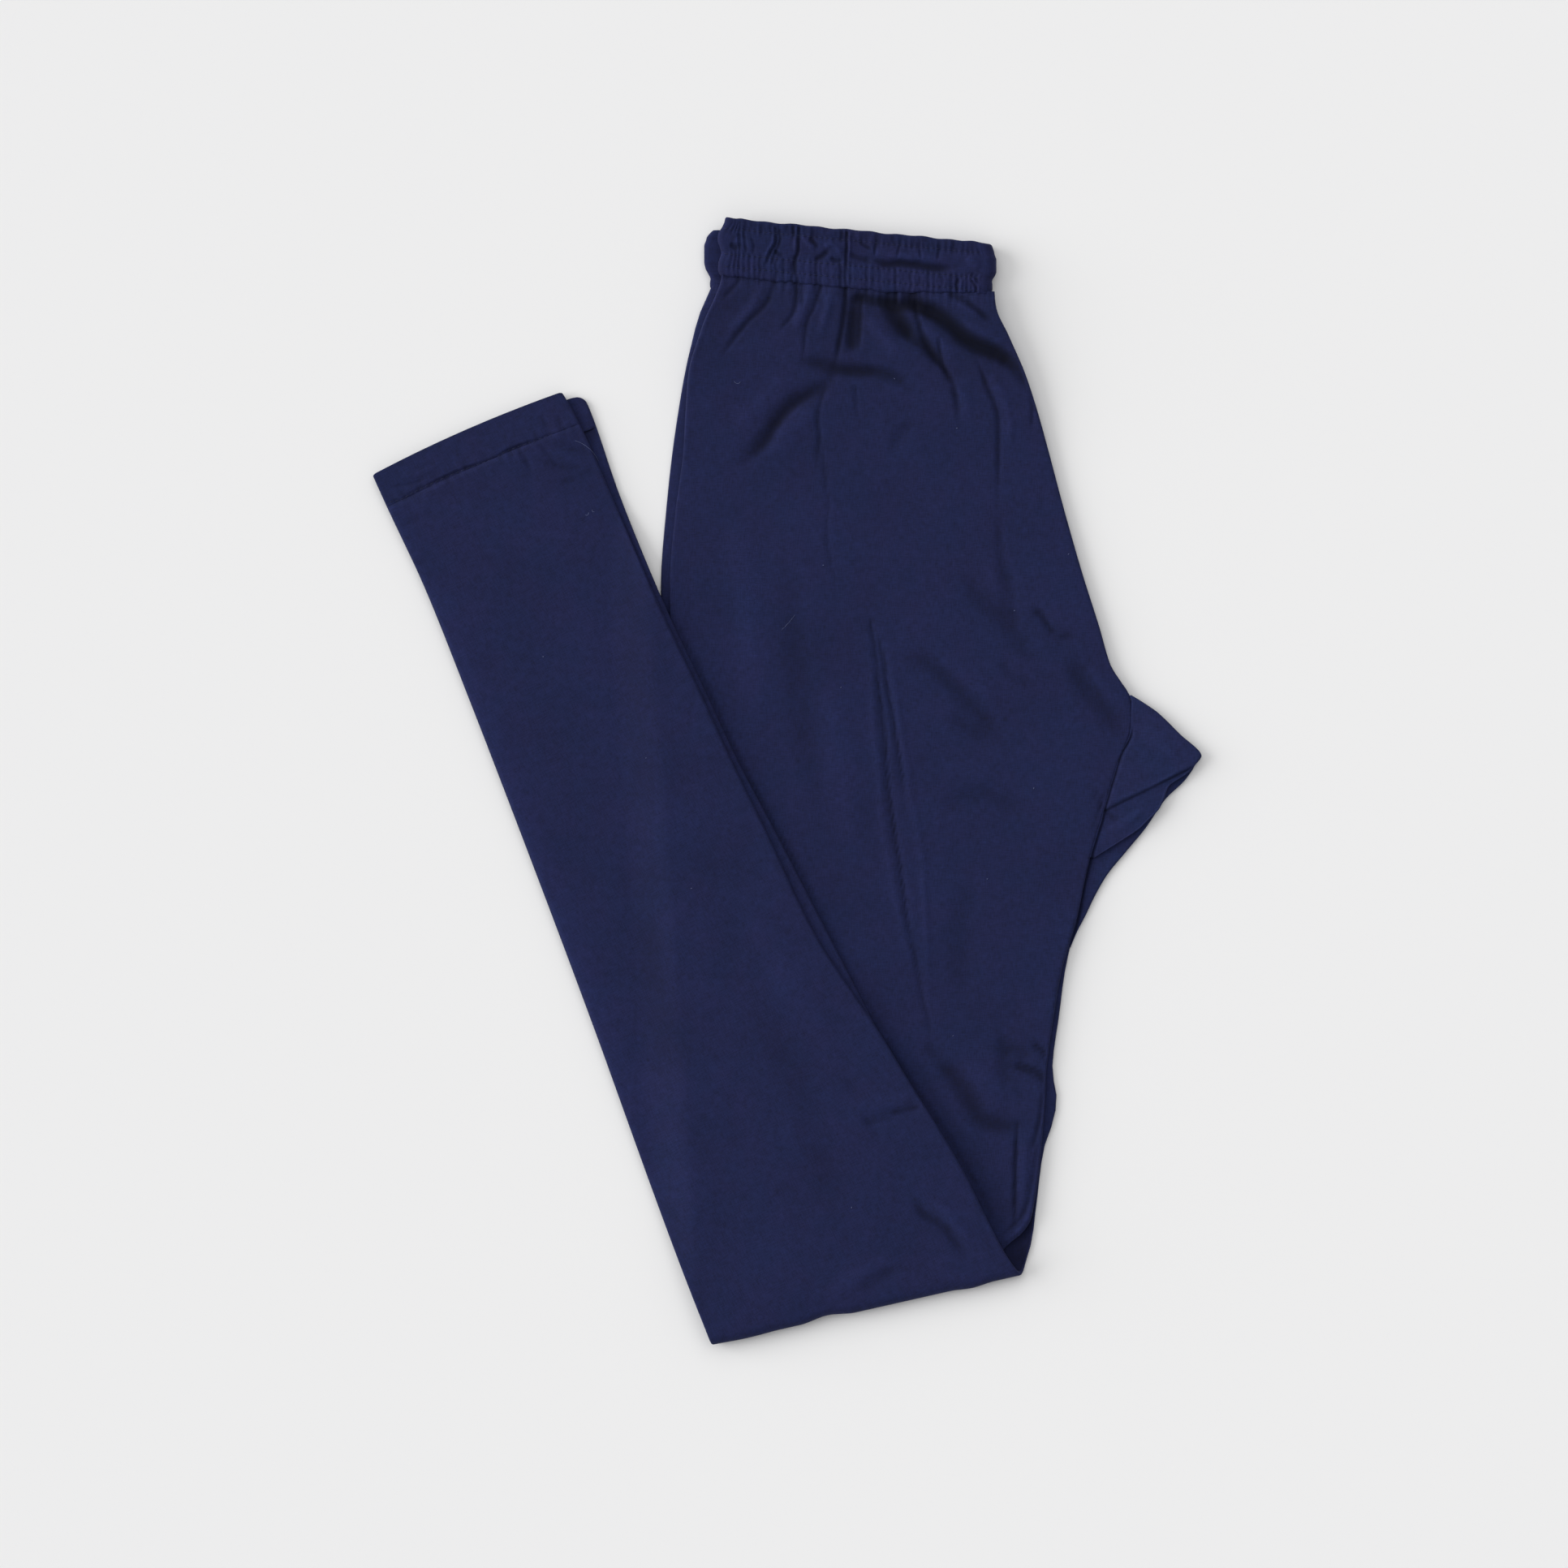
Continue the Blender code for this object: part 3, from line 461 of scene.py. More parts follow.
def leg_skin(levels, low_count, high_count, over, relief, corner=0.0):
    """The outer skin of a stretch of leg: its points, cloth coordinates and raised heights."""
    rows = []
    for level in levels:
        left_x, left_y, right_x, right_y = cut_ends(level, over)
        place, share = section(low_count, high_count, EDGE_ROUND / (right_x - left_x))
        short = max(corner - (level - levels[-1]) * MM, 0.0)
        trim = (corner - math.sqrt(corner * corner - short * short)) / (right_x - left_x)
        across = trim + (1.0 - 2.0 * trim) * place
        x = left_x + (right_x - left_x) * across
        y = left_y + (right_y - left_y) * across
        rows.append(np.stack([x, y, share, place], axis=-1))
    x, y, share, place = np.moveaxis(np.array(rows), -1, 0)
    bow = HEM_BOW * smooth((HEM_BOW_FROM - y) / HEM_BOW_RUN)
    y = y - bow * (1.0 - (2.0 * place - 1.0) ** 2)
    if over:
        y = y + WAIST_LIFT * smooth((x - WAIST_LIFT_FROM) / WAIST_LIFT_RUN) * smooth(
            (y - WAIST_LIFT_LEVEL) / WAIST_LIFT_RUN
        )
    thick = leg_thickness(y)
    height = share * thick + (thick + LAYER_GAP if over else 0.0)
    seam_level = (OVER_END_LEVEL if over else UNDER_END_LEVEL) + HEM_LENGTH / MM
    from_seam = np.abs(np.array(levels) - seam_level)[:, None] * MM
    pucker = ripple(x, 0.4 * y, PUCKER_WIDE, 21) + 0.5 * ripple(x, 0.2 * y, PUCKER_FINE, 22)
    sunk = HEM_SEAM_SINK * (1.0 + pucker) * (1.0 - smooth(from_seam / HEM_SEAM_WIDTH))
    sunk = sunk + HEM_PUCKER * pucker * (1.0 - smooth(from_seam / HEM_PUCKER_REACH))
    raised, crown = relief(x, y, share, place)
    # The sunk seam and puckers lower the cloth and, through the relief attribute, also darken it
    # as painted shade.
    raised = raised - sunk * np.where(share == 0.0, 1.0, np.where(share == 1.0, -1.0, 0.0))
    raised = np.maximum(raised, LEAST_LEG - thick)
    flats = np.stack([np.where(share > 0.5, x, -0.3 - x), y], axis=-1)
    return fold_up(x, y, height, raised + crown), flats, raised


def ring_faces(rows, size):
    """Quads between rows of points that each go once round a tube."""
    i = np.arange(size)
    j = (i + 1) % size
    a = np.arange(rows - 1)[:, None] * size
    quads = np.stack([a + i, a + j, a + j + size, a + i + size], axis=-1)
    return quads.reshape(-1, 4).tolist()


def add_cloth(name, points, faces, flats, raised, thickness):
    """A sheet of cloth from its outer skin, given its thickness inwards."""
    mesh = bpy.data.meshes.new(name)
    mesh.from_pydata(points.reshape(-1, 3).tolist(), [], faces)
    corners = np.empty(len(mesh.loops), np.int32)
    mesh.loops.foreach_get("vertex_index", corners)
    cloth_map = mesh.uv_layers.new(name="cloth")
    cloth_map.data.foreach_set("uv", (flats.reshape(-1, 2)[corners] * 10.0).ravel())
    # The raised heights are kept for the material, which paints shade in their troughs and a
    # highlight on their ridges.
    relief = mesh.attributes.new("relief", "FLOAT", "POINT")
    relief.data.foreach_set("value", (raised / MM).ravel())
    mesh.update()
    piece = bpy.data.objects.new(name, mesh)
    bpy.context.scene.collection.objects.link(piece)
    bpy.ops.object.select_all(action="DESELECT")
    bpy.context.view_layer.objects.active = piece
    piece.select_set(True)
    if thickness:
        wall = piece.modifiers.new("cloth_thickness", "SOLIDIFY")
        wall.thickness = thickness
        wall.offset = -1.0
        bpy.ops.object.modifier_apply(modifier=wall.name)
    bpy.ops.object.shade_smooth()
    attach(piece, "root")
    return piece


def socket(group, name, kind, way, value=None):
    made = group.interface.new_socket(name=name, socket_type=kind, in_out=way)
    if value is not None:
        made.default_value = value
    return made


def math_node(nodes, links, operation, first, second=None, third=None):
    node = nodes.new("ShaderNodeMath")
    node.operation = operation
    for slot, value in zip(node.inputs, (first, second, third)):
        if isinstance(value, (int, float)):
            slot.default_value = value
        elif value is not None:
            links.new(value, slot)
    return node.outputs[0]


def make_weave_group():
    """Dyed cotton: a fine plain weave with uneven threads, dye that lies unevenly, and painted
    shade in troughs and a painted highlight on ridges from the Relief input.
    """
    group = bpy.data.node_groups.new("dyed_cotton_weave", "ShaderNodeTree")
    socket(group, "Cloth", "NodeSocketVector", "INPUT")
    socket(group, "Place", "NodeSocketVector", "INPUT")
    socket(group, "Blue", "NodeSocketColor", "INPUT", (0.010, 0.015, 0.060, 1.0))
    socket(group, "Violet", "NodeSocketColor", "INPUT", (0.015, 0.014, 0.058, 1.0))
    socket(group, "Threads per decimetre", "NodeSocketFloat", "INPUT", 240.0)
    socket(group, "Slub", "NodeSocketFloat", "INPUT", 0.22)
    socket(group, "Relief", "NodeSocketFloat", "INPUT", 0.0)
    socket(group, "Color", "NodeSocketColor", "OUTPUT")
    socket(group, "Roughness", "NodeSocketFloat", "OUTPUT")
    socket(group, "Height", "NodeSocketFloat", "OUTPUT")
    nodes, links = group.nodes, group.links
    given = nodes.new("NodeGroupInput")
    result = nodes.new("NodeGroupOutput")

    cloth = nodes.new("ShaderNodeSeparateXYZ")
    links.new(given.outputs["Cloth"], cloth.inputs[0])
    waves = []
    for axis in ("X", "Y"):
        turns = math_node(nodes, links, "MULTIPLY", cloth.outputs[axis], 2.0 * math.pi)
        turns = math_node(
            nodes, links, "MULTIPLY", turns, given.outputs["Threads per decimetre"]
        )
        waves.append(math_node(nodes, links, "SINE", turns))
    weave = math_node(nodes, links, "MULTIPLY", waves[0], waves[1])

    streaks = []
    for scale in ((26.0, 150.0, 1.0), (170.0, 22.0, 1.0)):
        stretch = nodes.new("ShaderNodeMapping")
        stretch.inputs["Scale"].default_value = scale
        links.new(given.outputs["Cloth"], stretch.inputs["Vector"])
        threads = nodes.new("ShaderNodeTexNoise")
        threads.inputs["Scale"].default_value = 1.0
        threads.inputs["Detail"].default_value = 2.5
        links.new(stretch.outputs[0], threads.inputs["Vector"])
        streaks.append(math_node(nodes, links, "SUBTRACT", threads.outputs[0], 0.5))
    slub = math_node(nodes, links, "ADD", streaks[0], streaks[1])

    dye = nodes.new("ShaderNodeTexNoise")
    dye.inputs["Scale"].default_value = 48.0
    dye.inputs["Detail"].default_value = 4.0
    dye.inputs["Roughness"].default_value = 0.62
    links.new(given.outputs["Place"], dye.inputs["Vector"])
    flecks = nodes.new("ShaderNodeTexNoise")
    flecks.inputs["Scale"].default_value = 210.0
    flecks.inputs["Detail"].default_value = 3.0
    links.new(given.outputs["Place"], flecks.inputs["Vector"])
    fleck = math_node(nodes, links, "SUBTRACT", flecks.outputs[0], 0.5)
    spread = nodes.new("ShaderNodeMapRange")
    spread.inputs["From Min"].default_value = 0.38
    spread.inputs["From Max"].default_value = 0.62
    links.new(dye.outputs[0], spread.inputs["Value"])
    tint = nodes.new("ShaderNodeMix")
    tint.data_type = "RGBA"
    links.new(spread.outputs[0], tint.inputs["Factor"])
    links.new(given.outputs["Blue"], tint.inputs["A"])
    links.new(given.outputs["Violet"], tint.inputs["B"])

    shade = math_node(nodes, links, "MULTIPLY", slub, given.outputs["Slub"])
    shade = math_node(nodes, links, "MULTIPLY_ADD", shade, 4.0, 1.0)
    shade = math_node(nodes, links, "MULTIPLY_ADD", fleck, 0.42, shade)
    shade = math_node(nodes, links, "MULTIPLY_ADD", weave, 0.05, shade)
    # Painted shade: the colour darkens in the cloth's troughs and lightens on its ridges, by its
    # relief in mm.
    painted_crease_shade_and_ridge_highlight = nodes.new("ShaderNodeMapRange")
    painted_crease_shade_and_ridge_highlight.interpolation_type = "SMOOTHSTEP"
    painted_crease_shade_and_ridge_highlight.inputs["From Min"].default_value = -2.2
    painted_crease_shade_and_ridge_highlight.inputs["From Max"].default_value = 1.0
    painted_crease_shade_and_ridge_highlight.inputs["To Min"].default_value = 0.34
    painted_crease_shade_and_ridge_highlight.inputs["To Max"].default_value = 1.14
    links.new(given.outputs["Relief"], painted_crease_shade_and_ridge_highlight.inputs["Value"])
    shade = math_node(nodes, links, "MULTIPLY", shade, painted_crease_shade_and_ridge_highlight.outputs[0])
    # More painted shade in the deepest troughs.
    painted_deep_crease_shade = nodes.new("ShaderNodeMapRange")
    painted_deep_crease_shade.interpolation_type = "SMOOTHSTEP"
    painted_deep_crease_shade.inputs["From Min"].default_value = -3.2
    painted_deep_crease_shade.inputs["From Max"].default_value = -1.8
    painted_deep_crease_shade.inputs["To Min"].default_value = 0.55
    links.new(given.outputs["Relief"], painted_deep_crease_shade.inputs["Value"])
    shade = math_node(nodes, links, "MULTIPLY", shade, painted_deep_crease_shade.outputs[0])
    shaded = nodes.new("ShaderNodeVectorMath")
    shaded.operation = "SCALE"
    links.new(tint.outputs["Result"], shaded.inputs[0])
    links.new(shade, shaded.inputs["Scale"])
    links.new(shaded.outputs[0], result.inputs["Color"])

    rough = math_node(nodes, links, "MULTIPLY_ADD", slub, 0.2, 0.86)
    links.new(rough, result.inputs["Roughness"])
    relief = math_node(nodes, links, "MULTIPLY_ADD", slub, 1.2, weave)
    links.new(relief, result.inputs["Height"])
    return group


weave_group = make_weave_group()


def cotton(name, blue, violet, slub=0.22, bump=0.35):
    """A dyed cotton with its own two tints, how uneven its threads are and how raised, and painted
    shade and highlight read from the piece's relief.
    """
    material = bpy.data.materials.new(name)
    material.use_nodes = True
    nodes, links = material.node_tree.nodes, material.node_tree.links
    shader = nodes["Principled BSDF"]
    shader.inputs["Specular IOR Level"].default_value = 0.14
    shader.inputs["Sheen Weight"].default_value = 0.06
    shader.inputs["Sheen Roughness"].default_value = 0.45
    shader.inputs["Sheen Tint"].default_value = (0.45, 0.5, 1.0, 1.0)
    weave = nodes.new("ShaderNodeGroup")
    weave.node_tree = weave_group
    weave.inputs["Blue"].default_value = (*blue, 1.0)
    weave.inputs["Violet"].default_value = (*violet, 1.0)
    weave.inputs["Slub"].default_value = slub
    cloth = nodes.new("ShaderNodeUVMap")
    cloth.uv_map = "cloth"
    place = nodes.new("ShaderNodeTexCoord")
    # The relief attribute, in mm, darkens troughs as painted shade and lightens ridges as a
    # painted highlight.
    relief = nodes.new("ShaderNodeAttribute")
    relief.attribute_name = "relief"
    bump_node = nodes.new("ShaderNodeBump")
    bump_node.inputs["Strength"].default_value = bump
    bump_node.inputs["Distance"].default_value = 0.00008
    links.new(cloth.outputs[0], weave.inputs["Cloth"])
    links.new(place.outputs["Object"], weave.inputs["Place"])
    links.new(relief.outputs["Fac"], weave.inputs["Relief"])
    links.new(weave.outputs["Height"], bump_node.inputs["Height"])
    links.new(weave.outputs["Color"], shader.inputs["Base Color"])
    links.new(weave.outputs["Roughness"], shader.inputs["Roughness"])
    links.new(bump_node.outputs[0], shader.inputs["Normal"])
    return material


LEG_BLUE = (0.0114, 0.0165, 0.0636)
LEG_VIOLET = (0.0130, 0.0161, 0.0628)
leg_cotton = cotton("leg_cotton", LEG_BLUE, LEG_VIOLET)


def under_relief(x, y, share, place):
    beyond = past_fold(x, y)
    folded_x = x - 2.0 * beyond * FOLD_OUT[0]
    folded_y = y - 2.0 * beyond * FOLD_OUT[1]
    shows = (share == 0.0) & (beyond > BEND_RADIUS)
    calm = smooth((beyond - BEND_RADIUS) / (9.0 * MM))
    sides = smooth(place / 0.015) * smooth((1.0 - place) / 0.03)
    raised = fold_height(SHIN_FOLDS, folded_x, folded_y)
    coming_down = leg_drop(folded_x, folded_y)
    # A shallow dip where the shin comes down beside the thigh; through the relief attribute it
    # mostly darkens that slope as painted shade.
    raised -= SLOPE_SINK_AND_SHADE * 4.0 * coming_down * (1.0 - coming_down)
    for height, size, seed in SHIN_RIPPLES:
        raised += height * MM * ripple(folded_x, folded_y, size * MM, seed)
    crown = SHIN_CROWN * (1.0 - (2.0 * place - 1.0) ** 2)
    corner = smooth((x - CORNER_X) / CORNER_RUN) * smooth((CORNER_Y - y) / CORNER_RUN)
    inside = np.where((share == 1.0) & (beyond < 0.0), -CORNER_SINK_AND_SHADE * corner, 0.0)
    return np.where(shows, raised * calm * sides, inside), np.where(shows, crown * calm, 0.0)


levels = leg_levels(UNDER_TOP_LEVEL, UNDER_END_LEVEL + HEM_LENGTH / MM, 9.0, 2.6)
points, flats, raised = leg_skin(levels, 110, 24, False, under_relief)
faces = ring_faces(*points.shape[:2])
under_leg = add_cloth("under_leg_cloth", points, faces, flats, raised, CLOTH)
under_leg.data.materials.append(leg_cotton)
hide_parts("under_leg")


# The over leg. It is cut as the under leg, lies on top of it at the thigh and inside it at the
# shin, and hangs from the band in uneven gathers, with a pressed double pleat down its front.

THIGH_FOLDS = (
    # height, half width, share at its start, then the x and y of its points
    (-0.7, 2.0, 1.0, -26, 277, -30, 272, -36, 266),
    (-0.9, 2.4, 1.0, -7, 276, -11, 264, -23, 252, -38, 232),
    (0.6, 4.0, 0.6, -14, 273, -20, 261, -34, 246),
    (-0.9, 2.0, 1.0, 6, 274, 4, 259, -5, 248),
    (-1.0, 1.8, 1.0, 8, 275, 9, 261),
    (-0.8, 1.7, 1.0, 19, 273, 15, 261, 11, 252, 9, 228),
    (0.8, 4.5, 0.6, 13, 273, 9, 260, 4, 246),
    (0.8, 3.5, 0.6, 25, 272, 22, 259, 18, 246),
    (-1.4, 2.3, 1.0, 33, 272, 32, 259, 30, 246, 26.5, 228),
    (-0.9, 1.6, 1.0, 42, 268, 41, 256, 40, 236),
    (-1.8, 6.5, 0.8, 38, 264, 37, 250, 36, 234),
    (-1.3, 6.5, 0.0, 4, 233, 20, 230, 34, 227, 50, 226, 62, 222, 76, 214),
    (-0.6, 4.5, 0.0, 28, 227, 40, 226, 54, 226),
    (-1.3, 7.0, 0.5, 27, 227, 19, 217, 5, 210.5, -5, 200.5, -13, 188.5, -30, 173),
    (-0.8, 3.6, 0.0, 19, 216, 6, 209, -4, 199, -12, 187, -21, 179, -31, 175),
    (0.5, 8.0, 0.0, 18, 206, 8, 199, -2, 188, -10, 176),
    (0.4, 8.0, 0.0, 2, 226, -8, 215, -20, 202, -30, 190),
    (-0.7, 1.7, 0.0, 24, 222, 19, 210, 17, 198, 18, 190, 16, 168),
    (-1.9, 4.8, 1.0, 40, 267.5, 52, 264.5, 62, 262.5, 71, 261.5, 80, 258.5, 90, 252),
    (-2.2, 8.0, 0.8, 57, 266, 60, 258, 65, 250, 71, 244),
    (-1.5, 5.5, 0.3, 64, 251, 70, 245, 76, 241, 82, 234, 88, 227),
    (-3.0, 7.2, 0.7, 68, 266, 76, 262, 84, 257.5, 92, 251,
     99, 244.5, 107, 240, 118, 235.5, 131, 226),
    (-1.2, 6.0, 0.4, 116, 236, 124, 231, 131, 224, 135, 215),
    (0.8, 5.5, 0.0, 44, 258, 50, 250, 58, 240, 66, 232),
    (0.5, 4.0, 0.0, 96, 254, 104, 250, 114, 245, 124, 238),
    (0.5, 4.0, 0.0, 74, 252, 82, 246, 90, 237, 98, 230),
    (-1.2, 2.8, 0.6, 71, 264, 74, 250, 80, 237, 87, 228.5, 92, 220, 94.5, 208, 96, 192),
    (-1.0, 1.8, 0.0, 84, 247, 86, 232, 91, 219),
    (0.4, 4.0, 0.0, 88, 222, 99, 212, 101, 198),
    (-1.0, 2.2, 0.2, 104, 237, 108, 226, 112, 216, 117, 203, 117.5, 185, 117, 150),
    (0.6, 4.0, 0.0, 112, 226, 120, 212, 124, 196, 124, 180),
    (-0.9, 1.5, 1.0, 61, 274, 61, 262),
    (-0.9, 1.6, 1.0, 71, 273, 72, 258),
    (-1.3, 3.0, 0.8, 91, 268, 98, 266, 107, 259, 116, 252),
    (0.8, 2.6, 0.5, 92, 264, 100, 261, 108, 255),
    (-0.8, 1.6, 0.0, 133, 218, 136, 210, 136, 192),
    (-0.5, 5.0, 0.0, 70, 199, 62, 190, 55, 179),
    (-0.5, 1.5, 0.0, 18, 213, 19, 190, 23, 154, 22, 136, 28, 104, 32, 88),
    (-0.6, 1.6, 0.0, 38, 220, 39, 200),
    (-1.2, 1.7, 0.6, 46, 87, 49, 72, 51, 52, 54, 28, 56, 0, 60, -30, 63, -49, 68, -84, 74, -120),
    (0.55, 2.4, 0.0, 46, 79, 47, 60, 48, 31, 51, 5, 53, -21, 57, -47, 62, -73, 70, -103, 77, -134),
    (-1.1, 1.7, 0.4, 46, 87, 53, 71, 56, 50, 60, 28, 64, 3, 66, -14, 67, -24),
    (0.5, 2.4, 0.0, 49, 84, 57, 66, 61, 45, 66, 10, 69, -11, 73, -30, 76, -55, 79, -126, 79, -153),
    (-0.7, 2.0, 0.0, 70, -85, 74, -115, 79, -135, 80, -152),
    (-0.8, 8.0, 0.0, 60, 69, 76, 66, 87, 58, 97, 48, 108, 36, 118, 24, 126, 13),
    (-0.7, 7.0, 0.0, 90, 36, 104, 27, 116, 19),
    (0.3, 8.0, 0.0, 84, 72, 96, 62, 108, 50, 120, 38),
    (-0.5, 7.0, 0.0, 80, -16, 97, -10, 108, -7, 121, -12, 136, -21),
    (0.4, 7.0, 0.0, 84, 6, 100, 6, 116, 0),
    (-0.6, 8.0, 0.0, 97, 120, 108, 100, 120, 90, 132, 72, 144, 55),
    (0.25, 6.0, 0.0, 110, 120, 120, 106, 134, 90),
    (-0.5, 4.0, 0.0, 117, 70, 126, 57, 144, 52),
    (-0.6, 5.0, 0.0, 122, 122, 125, 100, 127, 82),
    (-1.3, 2.6, 0.0, 134, 89, 139, 93, 143, 89, 148, 82, 157, 80, 164, 79),
    (0.25, 3.5, 0.0, 136, 98, 146, 98, 154, 88),
    (-0.8, 9.0, 0.0, 156, 70, 167, 50, 176, 40, 183, 29, 185, 18),
    (0.25, 5.0, 0.0, 168, 64, 178, 50, 186, 38),
    (-0.5, 4.0, 0.2, 117, 152, 118.5, 130, 120, 108, 121, 86),
    (-0.8, 1.4, 0.0, 170, -7, 173, -12, 175, -17),
    (-0.7, 1.4, 0.0, 173, -26, 175, -33),
    (-0.9, 3.0, 0.0, 178, -4, 175, -16, 173, -28, 170, -38),
    (-1.6, 2.6, 0.4, 136, -147, 140.5, -149, 146, -154),
    (-1.9, 3.6, 0.2, 124, -158, 133, -160, 140, -163, 145, -168, 149, -174),
    (-0.7, 7.0, 0.0, 121, -146, 121, -158, 124, -173),
    (-0.7, 7.0, 0.0, 114, -145, 126, -149, 138, -156),
    (-0.35, 5.0, 0.0, 127, -164, 129, -172, 131, -180),
    (-1.2, 8.5, 0.5, 80, -150, 95, -167, 102, -178, 108, -187, 117, -191, 127, -192, 140, -188),
    (0.3, 8.0, 0.0, 100, -154, 112, -168, 120, -182),
    (-1.5, 1.8, 0.5, 128, -190, 127, -215, 126.6, -253),
    (-0.3, 12.0, 0.3, 104, -192, 112, -212, 117, -230, 121, -254),
    (-1.0, 2.0, 0.2, 142.5, -170, 140.5, -188, 134.5, -210),
    (-0.6, 2.0, 0.2, 140, -196, 137, -218, 134, -236),
    (0.5, 3.0, 0.0, 132, -198, 132, -214, 131, -238),
    (0.9, 1.8, 0.3, 137, -232, 135, -240, 131, -247, 126, -252, 118, -256),
    (-0.8, 1.6, 0.3, 135, -228, 132.5, -238, 128.5, -244, 123, -249, 117, -252),
    (-0.8, 2.6, 0.6, 45, -131, 66, -163, 89, -197, 109, -232, 120, -258),
    (-0.4, 7.0, 0.3, 66, -146, 84, -178, 104, -212, 116, -240),
    (-0.7, 1.7, 0.6, -66, 93, -56, 76, -44, 52, -35.5, 32, -21.5, 2, -6, -27, 14, -63, 24, -87),
    (0.5, 14.0, 0.0, -30, 150, -22, 100, -18, 60, -14, 20),
    (-0.5, 12.0, 0.0, 0, 130, 4, 80, 10, 30, 22, -30),
    (0.4, 12.0, 0.0, 24, 60, 30, 10, 38, -50),
    (-0.4, 12.0, 0.0, 100, -50, 96, -90, 98, -130),
)

# Lines sewn into the lower band, which start the gathers: place along it and how deep, in mm.
GATHER_LINES = (
    (-32.7, 0.4), (-29.6, 0.3), (-26.9, 0.7), (-23.7, 0.4), (-20.5, 0.6), (-17.6, 0.4),
    (-14.7, 0.7), (-12.1, 0.5), (-10.2, 0.4), (-5.7, 0.9), (-1.2, 0.7), (3.3, 0.6), (5.6, 1.1),
    (9.8, 0.4), (16.4, 0.8), (18.9, 0.7), (24.0, 0.3), (30.1, 0.8), (32.6, 0.9), (35.6, 0.6),
    (40.2, 0.4), (44.4, 0.8), (48.3, 0.5), (52.1, 0.7), (56.6, 0.5), (60.5, 0.8), (65.0, 0.5),
    (68.9, 0.8), (74.0, 0.6), (78.5, 0.7), (81.7, 0.5), (86.4, 0.6), (91.2, 0.8), (94.6, 0.7),
    (97.7, 0.4), (101.0, 0.5), (103.6, 0.3), (106.8, 0.5), (110.0, 0.3), (113.0, 0.4),
)
BAND_LEFT = -36.9 * MM
BAND_RIGHT = 110.5 * MM
BAND_TOP_LEFT = 311.5 * MM
BAND_TOP_SLOPE = -0.0952
BAND_HEIGHT = 32.5 * MM
BAND_SHORTER = 4.0 * MM
SEAM_SINK = 1.1 * MM
SEAM_SHADE = 0.45
THIGH_RIPPLES = ((0.16, 60.0, 5), (0.06, 16.0, 6))  # height and size in mm, seed
WAIST_SHADE = 0.35 * MM
WAIST_SHADE_RUN = 75.0 * MM


def band_top(x):
    return BAND_TOP_LEFT + BAND_TOP_SLOPE * (x - BAND_LEFT)


def band_height(x):
    """The band draws up a little towards its right end."""
    place = (x - BAND_LEFT) / (BAND_RIGHT - BAND_LEFT)
    return BAND_HEIGHT - BAND_SHORTER * smooth((place - 0.6) / 0.4)


def gather_lines(x, wander):
    """Sunk lines where the cloth is drawn together, each a narrow V."""
    total = np.zeros_like(x)
    for at, depth in GATHER_LINES:
        away = np.abs(x - at * MM - wander * math.sin(7.0 * at))
        total -= depth * MM * (1.0 - smooth(away / (1.9 * MM)))
    return total


def over_relief(x, y, share, place):
    beyond = past_fold(x, y)
    shows = (share == 1.0) & (beyond < -BEND_RADIUS)
    calm = smooth((-beyond - BEND_RADIUS) / (8.0 * MM))
    sides = smooth(place / 0.02) * smooth((1.0 - place) / 0.01)
    below = band_top(x) - band_height(x) - y
    raised = fold_height(THIGH_FOLDS, x, y)
    for height, size, seed in THIGH_RIPPLES:
        raised += height * MM * ripple(x, y, size * MM, seed)
    drawn = 1.0 - smooth((below - 1.0 * MM) / (11.0 * MM))
    raised += gather_lines(x, 0.10 * (below - 4.0 * MM)) * 0.9 * drawn
    raised += 0.5 * MM * drawn
    # A shallow dip below the band, which the relief attribute also turns into painted shade.
    raised -= WAIST_SHADE * (1.0 - smooth(below / WAIST_SHADE_RUN))
    raised = raised * sides
    # The seam's sink: its SEAM_SHADE share goes into the relief attribute as painted shade along
    # the seam, and the rest only lowers the cloth.
    seam = SEAM_SINK * (1.0 - smooth((below + 0.4 * MM) / (3.0 * MM)))
    raised -= SEAM_SHADE * seam
    sunk = -(1.0 - SEAM_SHADE) * seam
    return np.where(shows, raised * calm, 0.0), np.where(shows, sunk, 0.0)


WAIST_END_LEVEL = 190.0
KNEE_START_LEVEL = -120.0


def over_levels(top, end):
    """Cross-cuts closest at the waist, where the gathers are, and close at the knee."""
    waist = np.arange(top, WAIST_END_LEVEL, -1.6)
    thigh = np.arange(WAIST_END_LEVEL, KNEE_START_LEVEL, -3.7)
    return [*waist, *thigh, *leg_levels(KNEE_START_LEVEL, end, 2.2, 12.0)]


levels = over_levels(OVER_TOP_LEVEL, OVER_END_LEVEL + HEM_LENGTH / MM)
points, flats, raised = leg_skin(levels, 14, 152, True, over_relief)
faces = ring_faces(*points.shape[:2])
over_leg = add_cloth("over_leg_cloth", points, faces, flats, raised, CLOTH)
over_leg.data.materials.append(leg_cotton)
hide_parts("over_leg")


# The gussets. Each is a small panel let into the crotch: the over one lies as a flap folded
# down over the facet below it, and the under one shows only as the lower facet.

